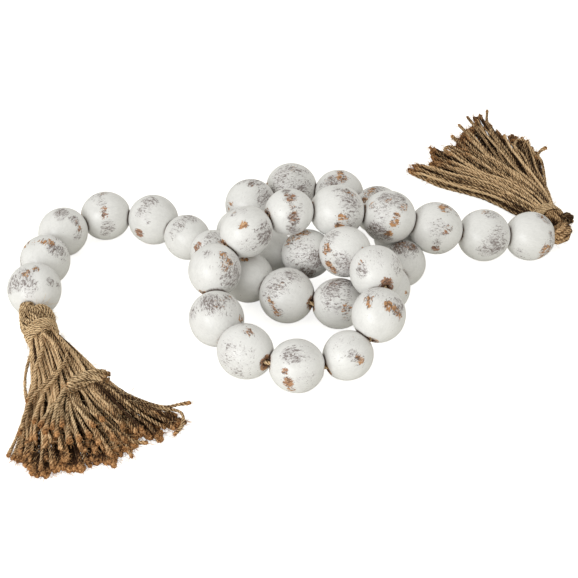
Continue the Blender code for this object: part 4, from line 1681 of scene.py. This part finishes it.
for side_name, plan in (("left", LEFT), ("right", RIGHT)):
    mesh = sweep(f"binding_{side_name}", [winding(plan, head_chance)], ply_outline)
    finish_piece(f"binding_{side_name}", mesh, jute_twine, "jute_twine", f"binding_{side_name}")
print("turns of twine on each waist:", BINDING_TURNS)

# %% [markdown]
# ## The loose end
#
# A thick bundle of strands lies across the left fan. Its cut end points right. Its
# other end unwinds into a few strands that run down over the fan, where each ends in its
# own place. All places are in millimetres from the ball beside the tassel.

# %% The loose end's plan
TAIL_LINE = [
    (64.5, -98, 15.2), (58, -99.5, 16.6), (51, -102, 17), (44, -106, 16.4), (38, -111, 15),
]
TAIL_WIDTHS = (4.6, 5.8, 6.6, 6.4, 5.2)
TAIL_STRANDS = 20
TAIL_TIPS = [
    (26, -157, 13), (31, -154, 14), (38, -151, 14), (45, -166, 12), (52, -164, 12),
    (59, -160, 12), (61, -150, 13), (22, -150, 13), (35, -160, 13), (67, -143, 13),
]
print("strands that unwind:", len(TAIL_TIPS))

# %% [markdown]
# The strands wind round the bundle's line, a little flattened, with every fourth one at
# its heart. The cut end is uneven. Between the bundle and its tip, an unwound strand
# swings out and lifts a little.

# %% Lay the loose end
TAIL_SIDE = Vector((-0.35, -0.94, 0))
TAIL_FLATNESS = 0.75
TAIL_TWIST = 0.3
HEART_EVERY, HEART_SPREAD = 4, 0.45
UNEVEN_CUT = ((-1.5, 2), (-1, 1), (-1, 1))
UNWOUND_SWINGS = ((0.4, Vector((-2.5, 0, 1))), (0.75, Vector((-1.5, 0, 0.5))))
TAIL_TINTS = (0.2, 1.0)
TAIL_FLARES = (1.6, 2.3)
UNWOUND_TIP, HIDDEN_TIP = 11 * MM, 0.1 * MM
CUT_LENGTH, CUT_WARMTH = 3 * MM, 0.6


def tail_strand(number, chance):
    """One strand from the cut end; every other one unwinds and runs down over the fan."""
    turn = math.tau * number / TAIL_STRANDS
    spread = 1.0 if number % HEART_EVERY else HEART_SPREAD
    unwinds = number % 2 == 0
    points = []
    for i, (place, width) in enumerate(zip(TAIL_LINE, TAIL_WIDTHS)):
        angle = turn + TAIL_TWIST * i
        across = TAIL_SIDE * math.cos(angle) + UP * math.sin(angle) * TAIL_FLATNESS
        points.append(from_ball(LEFT, *place) + across * width * spread * MM)
    points[0] += Vector([chance.uniform(*span) for span in UNEVEN_CUT]) * MM
    if unwinds:
        end = from_ball(LEFT, *TAIL_TIPS[number // 2])
        last = points[-1]
        points += [last.lerp(end, share) + swing * MM for share, swing in UNWOUND_SWINGS]
        points.append(end)
    item = strand(
        smooth_route(points),
        STRAND_RADIUS,
        tint=chance.uniform(*TAIL_TINTS),
        phase=chance.random(),
        swell=frayed_swell(chance, chance.uniform(*TAIL_FLARES)),
        tip=UNWOUND_TIP if unwinds else HIDDEN_TIP,
    )
    cut = np.clip(1 - item["travelled"] / CUT_LENGTH, 0, 1)
    item["tip"] = np.maximum(item["tip"], cut * CUT_WARMTH)
    return item


tail_chance = random.Random(10)
tail = [tail_strand(number, tail_chance) for number in range(TAIL_STRANDS)]
tail_mesh = sweep("tail_left", tail, ply_outline)
finish_piece("tail_left", tail_mesh, jute_strand, "jute_tassel", "tail_left")
print("tail faces:", len(tail_mesh.polygons))

# %% [markdown]
# ## Hairs
#
# Jute is hairy. Loose fibres stand out from every strand, and each frayed tip is a small
# tuft. Blender can grow hair on a surface, but meshes go wherever the garland goes. So a
# hair is swept as a strand is, with three sides: it bends three times on its way, and
# stays above the table.

# %% One hair
HAIR_RADIUS = 0.09 * MM
HAIR_BENDS = 3
HAIR_STRAYS = 0.4
HAIR_CLEARANCE = 0.3 * MM


def hair(start, ahead, length, chance, tint, tip=0.0, radius=HAIR_RADIUS):
    """One bent hair that starts along the given direction and strays."""
    points = [start]
    direction = ahead.normalized()
    for _ in range(HAIR_BENDS):
        direction = (direction + random_direction(chance) * HAIR_STRAYS).normalized()
        place = points[-1] + direction * length / HAIR_BENDS
        place.z = max(place.z, HAIR_CLEARANCE)
        points.append(place)
    item = strand(points, radius, tint=tint, step=length / HAIR_BENDS, twist=1.0)
    item["tip"][:] = tip
    return item


print("sides of a hair:", HAIR_SIDES)

# %% [markdown]
# The loose hairs start anywhere on any strand and lean along it. The tufts' hairs start
# just inside a frayed tip and go on the way the strand went. They are thicker and warmer,
# like the tip. The string and the twine are smoother, and get none.

# %% Hairs
HAIRS = 1700
HAIR_LENGTHS = (5, 14)
HAIR_TINTS = (0.7, 1.5)
HAIR_AHEAD = (0.8, 2.2)
FRAYED_FROM = 0.35
TUFT = 7
TUFT_RADIUS = 0.13 * MM
TUFT_LENGTHS = (3, 7)
TUFT_DEPTH = 2 * MM
TUFT_SPREAD = 0.8
TUFT_TINT, TUFT_WARMTH = 0.7, 0.9


def loose_hair(item, chance):
    """A hair from a random place on a strand, leaning along it."""
    at = chance.randrange(2, len(item["line"]) - 2)
    start = Vector(item["line"][at])
    along = (Vector(item["line"][at + 1]) - start).normalized()
    ahead = along * chance.uniform(*HAIR_AHEAD) + random_direction(chance)
    tone = chance.uniform(*HAIR_TINTS)
    return hair(start, ahead, chance.uniform(*HAIR_LENGTHS) * MM, chance, tone)


def tuft_hair(item, chance):
    """A hair from a strand's frayed tip, pointing on ahead."""
    end, before = Vector(item["line"][-1]), Vector(item["line"][-4])
    ahead = (end - before).normalized()
    start = end - ahead * TUFT_DEPTH + random_direction(chance) * STRAND_RADIUS
    ahead = ahead + random_direction(chance) * TUFT_SPREAD
    length = chance.uniform(*TUFT_LENGTHS) * MM
    return hair(start, ahead, length, chance, TUFT_TINT, TUFT_WARMTH, TUFT_RADIUS)


def hairs_of(strands, chance):
    hairs = [loose_hair(chance.choice(strands), chance) for _ in range(HAIRS)]
    frayed = [item for item in strands if item["tip"][-1] >= FRAYED_FROM]
    return hairs + [tuft_hair(item, chance) for item in frayed for _ in range(TUFT)]


hair_chance = random.Random(15)
hairy = (("left", left_fan + left_head + tail), ("right", right_fan + right_head))
for side_name, strands in hairy:
    mesh = sweep(f"hairs_{side_name}", hairs_of(strands, hair_chance), hair_outline)
    finish_piece(f"hairs_{side_name}", mesh, jute_strand, "jute_tassel")
    print("hairs", side_name, "faces:", len(mesh.polygons))

# %% [markdown]
# Each tassel's strands are joined into two pieces, every other strand in each, so that no
# piece grows too heavy.

# %% Join each tassel's strands
TASSEL_PIECES = 2

for side_name, strands in (("left", left_fan + left_head), ("right", right_fan + right_head)):
    for part in range(TASSEL_PIECES):
        name = f"tassel_{side_name}_{part + 1}"
        mesh = sweep(name, strands[part::TASSEL_PIECES], ply_outline)
        finish_piece(name, mesh, jute_strand, "jute_tassel", f"tassel_{side_name}")
        print(name, "faces:", len(mesh.polygons))

# %% [markdown]
# ## The table
#
# The photo's table is plain white, lit so softly that hardly any shadow is left. More
# light would whiten the table but bleach the balls too. So the table glows a little to
# the camera alone, and the garland gets no more light from it. It is staging, and no
# part of the garland.

# %% Lay the table
FLOOR_SIZE = 3
FLOOR_TONE = (0.82, 0.81, 0.76, 1)
FLOOR_ROUGHNESS = 0.8
FLOOR_GLOSS = 0.1
FLOOR_GLOW = 0.75

floor_mesh = bpy.data.meshes.new("floor")
bm = bmesh.new()
bmesh.ops.create_grid(bm, x_segments=1, y_segments=1, size=FLOOR_SIZE)
bm.to_mesh(floor_mesh)
bm.free()
floor_material, floor_tree, floor_shader = new_material("floor")
floor_shader.inputs["Base Color"].default_value = FLOOR_TONE
floor_shader.inputs["Roughness"].default_value = FLOOR_ROUGHNESS
floor_shader.inputs["Specular IOR Level"].default_value = FLOOR_GLOSS
floor_shader.inputs["Emission Color"].default_value = (1, 1, 1, 1)
seen = add_node(floor_tree, "ShaderNodeLightPath").outputs["Is Camera Ray"]
glow = add_math(floor_tree, "MULTIPLY", seen, FLOOR_GLOW)
join(floor_tree, (glow, floor_shader.inputs["Emission Strength"]))
floor_mesh.materials.append(floor_material)
floor = bpy.data.objects.new("floor", floor_mesh)
bpy.context.scene.collection.objects.link(floor)
print("table side, m:", 2 * FLOOR_SIZE)

# %% [markdown]
# ## The light
#
# Most of the light comes from the pale room and back up from the table. A large soft
# light stands low at the front left, and a window beside it makes the small soft shine
# on the balls. A sun would give hard shadows that the photo hasn't got. Each light has
# its name, shape, place, size and power.

# %% Lights and room
LIGHTS = [
    ("key", "DISK", (-0.95, -1.55, 0.6), 1.1, 11.2),
    ("window", "SQUARE", (-1.25, -1.16, 0.89), 0.34, 5),
]
LIGHT_TONE = (0.96, 0.975, 1)
ROOM_TONE = (1, 0.99, 0.95, 1)
ROOM_LIGHT = 0.757

for name, shape, place, size, power in LIGHTS:
    lamp = bpy.data.lights.new(name, "AREA")
    lamp.shape = shape
    lamp.size = size
    lamp.energy = power
    lamp.color = LIGHT_TONE
    holder = bpy.data.objects.new(name, lamp)
    holder.location = place
    holder.rotation_euler = (-Vector(place)).to_track_quat("-Z", "Y").to_euler()
    bpy.context.scene.collection.objects.link(holder)

room = bpy.data.worlds.new("room")
bpy.context.scene.world = room
room.use_nodes = True
background = room.node_tree.nodes["Background"]
background.inputs["Color"].default_value = ROOM_TONE
background.inputs["Strength"].default_value = ROOM_LIGHT
print("lights:", len(LIGHTS))
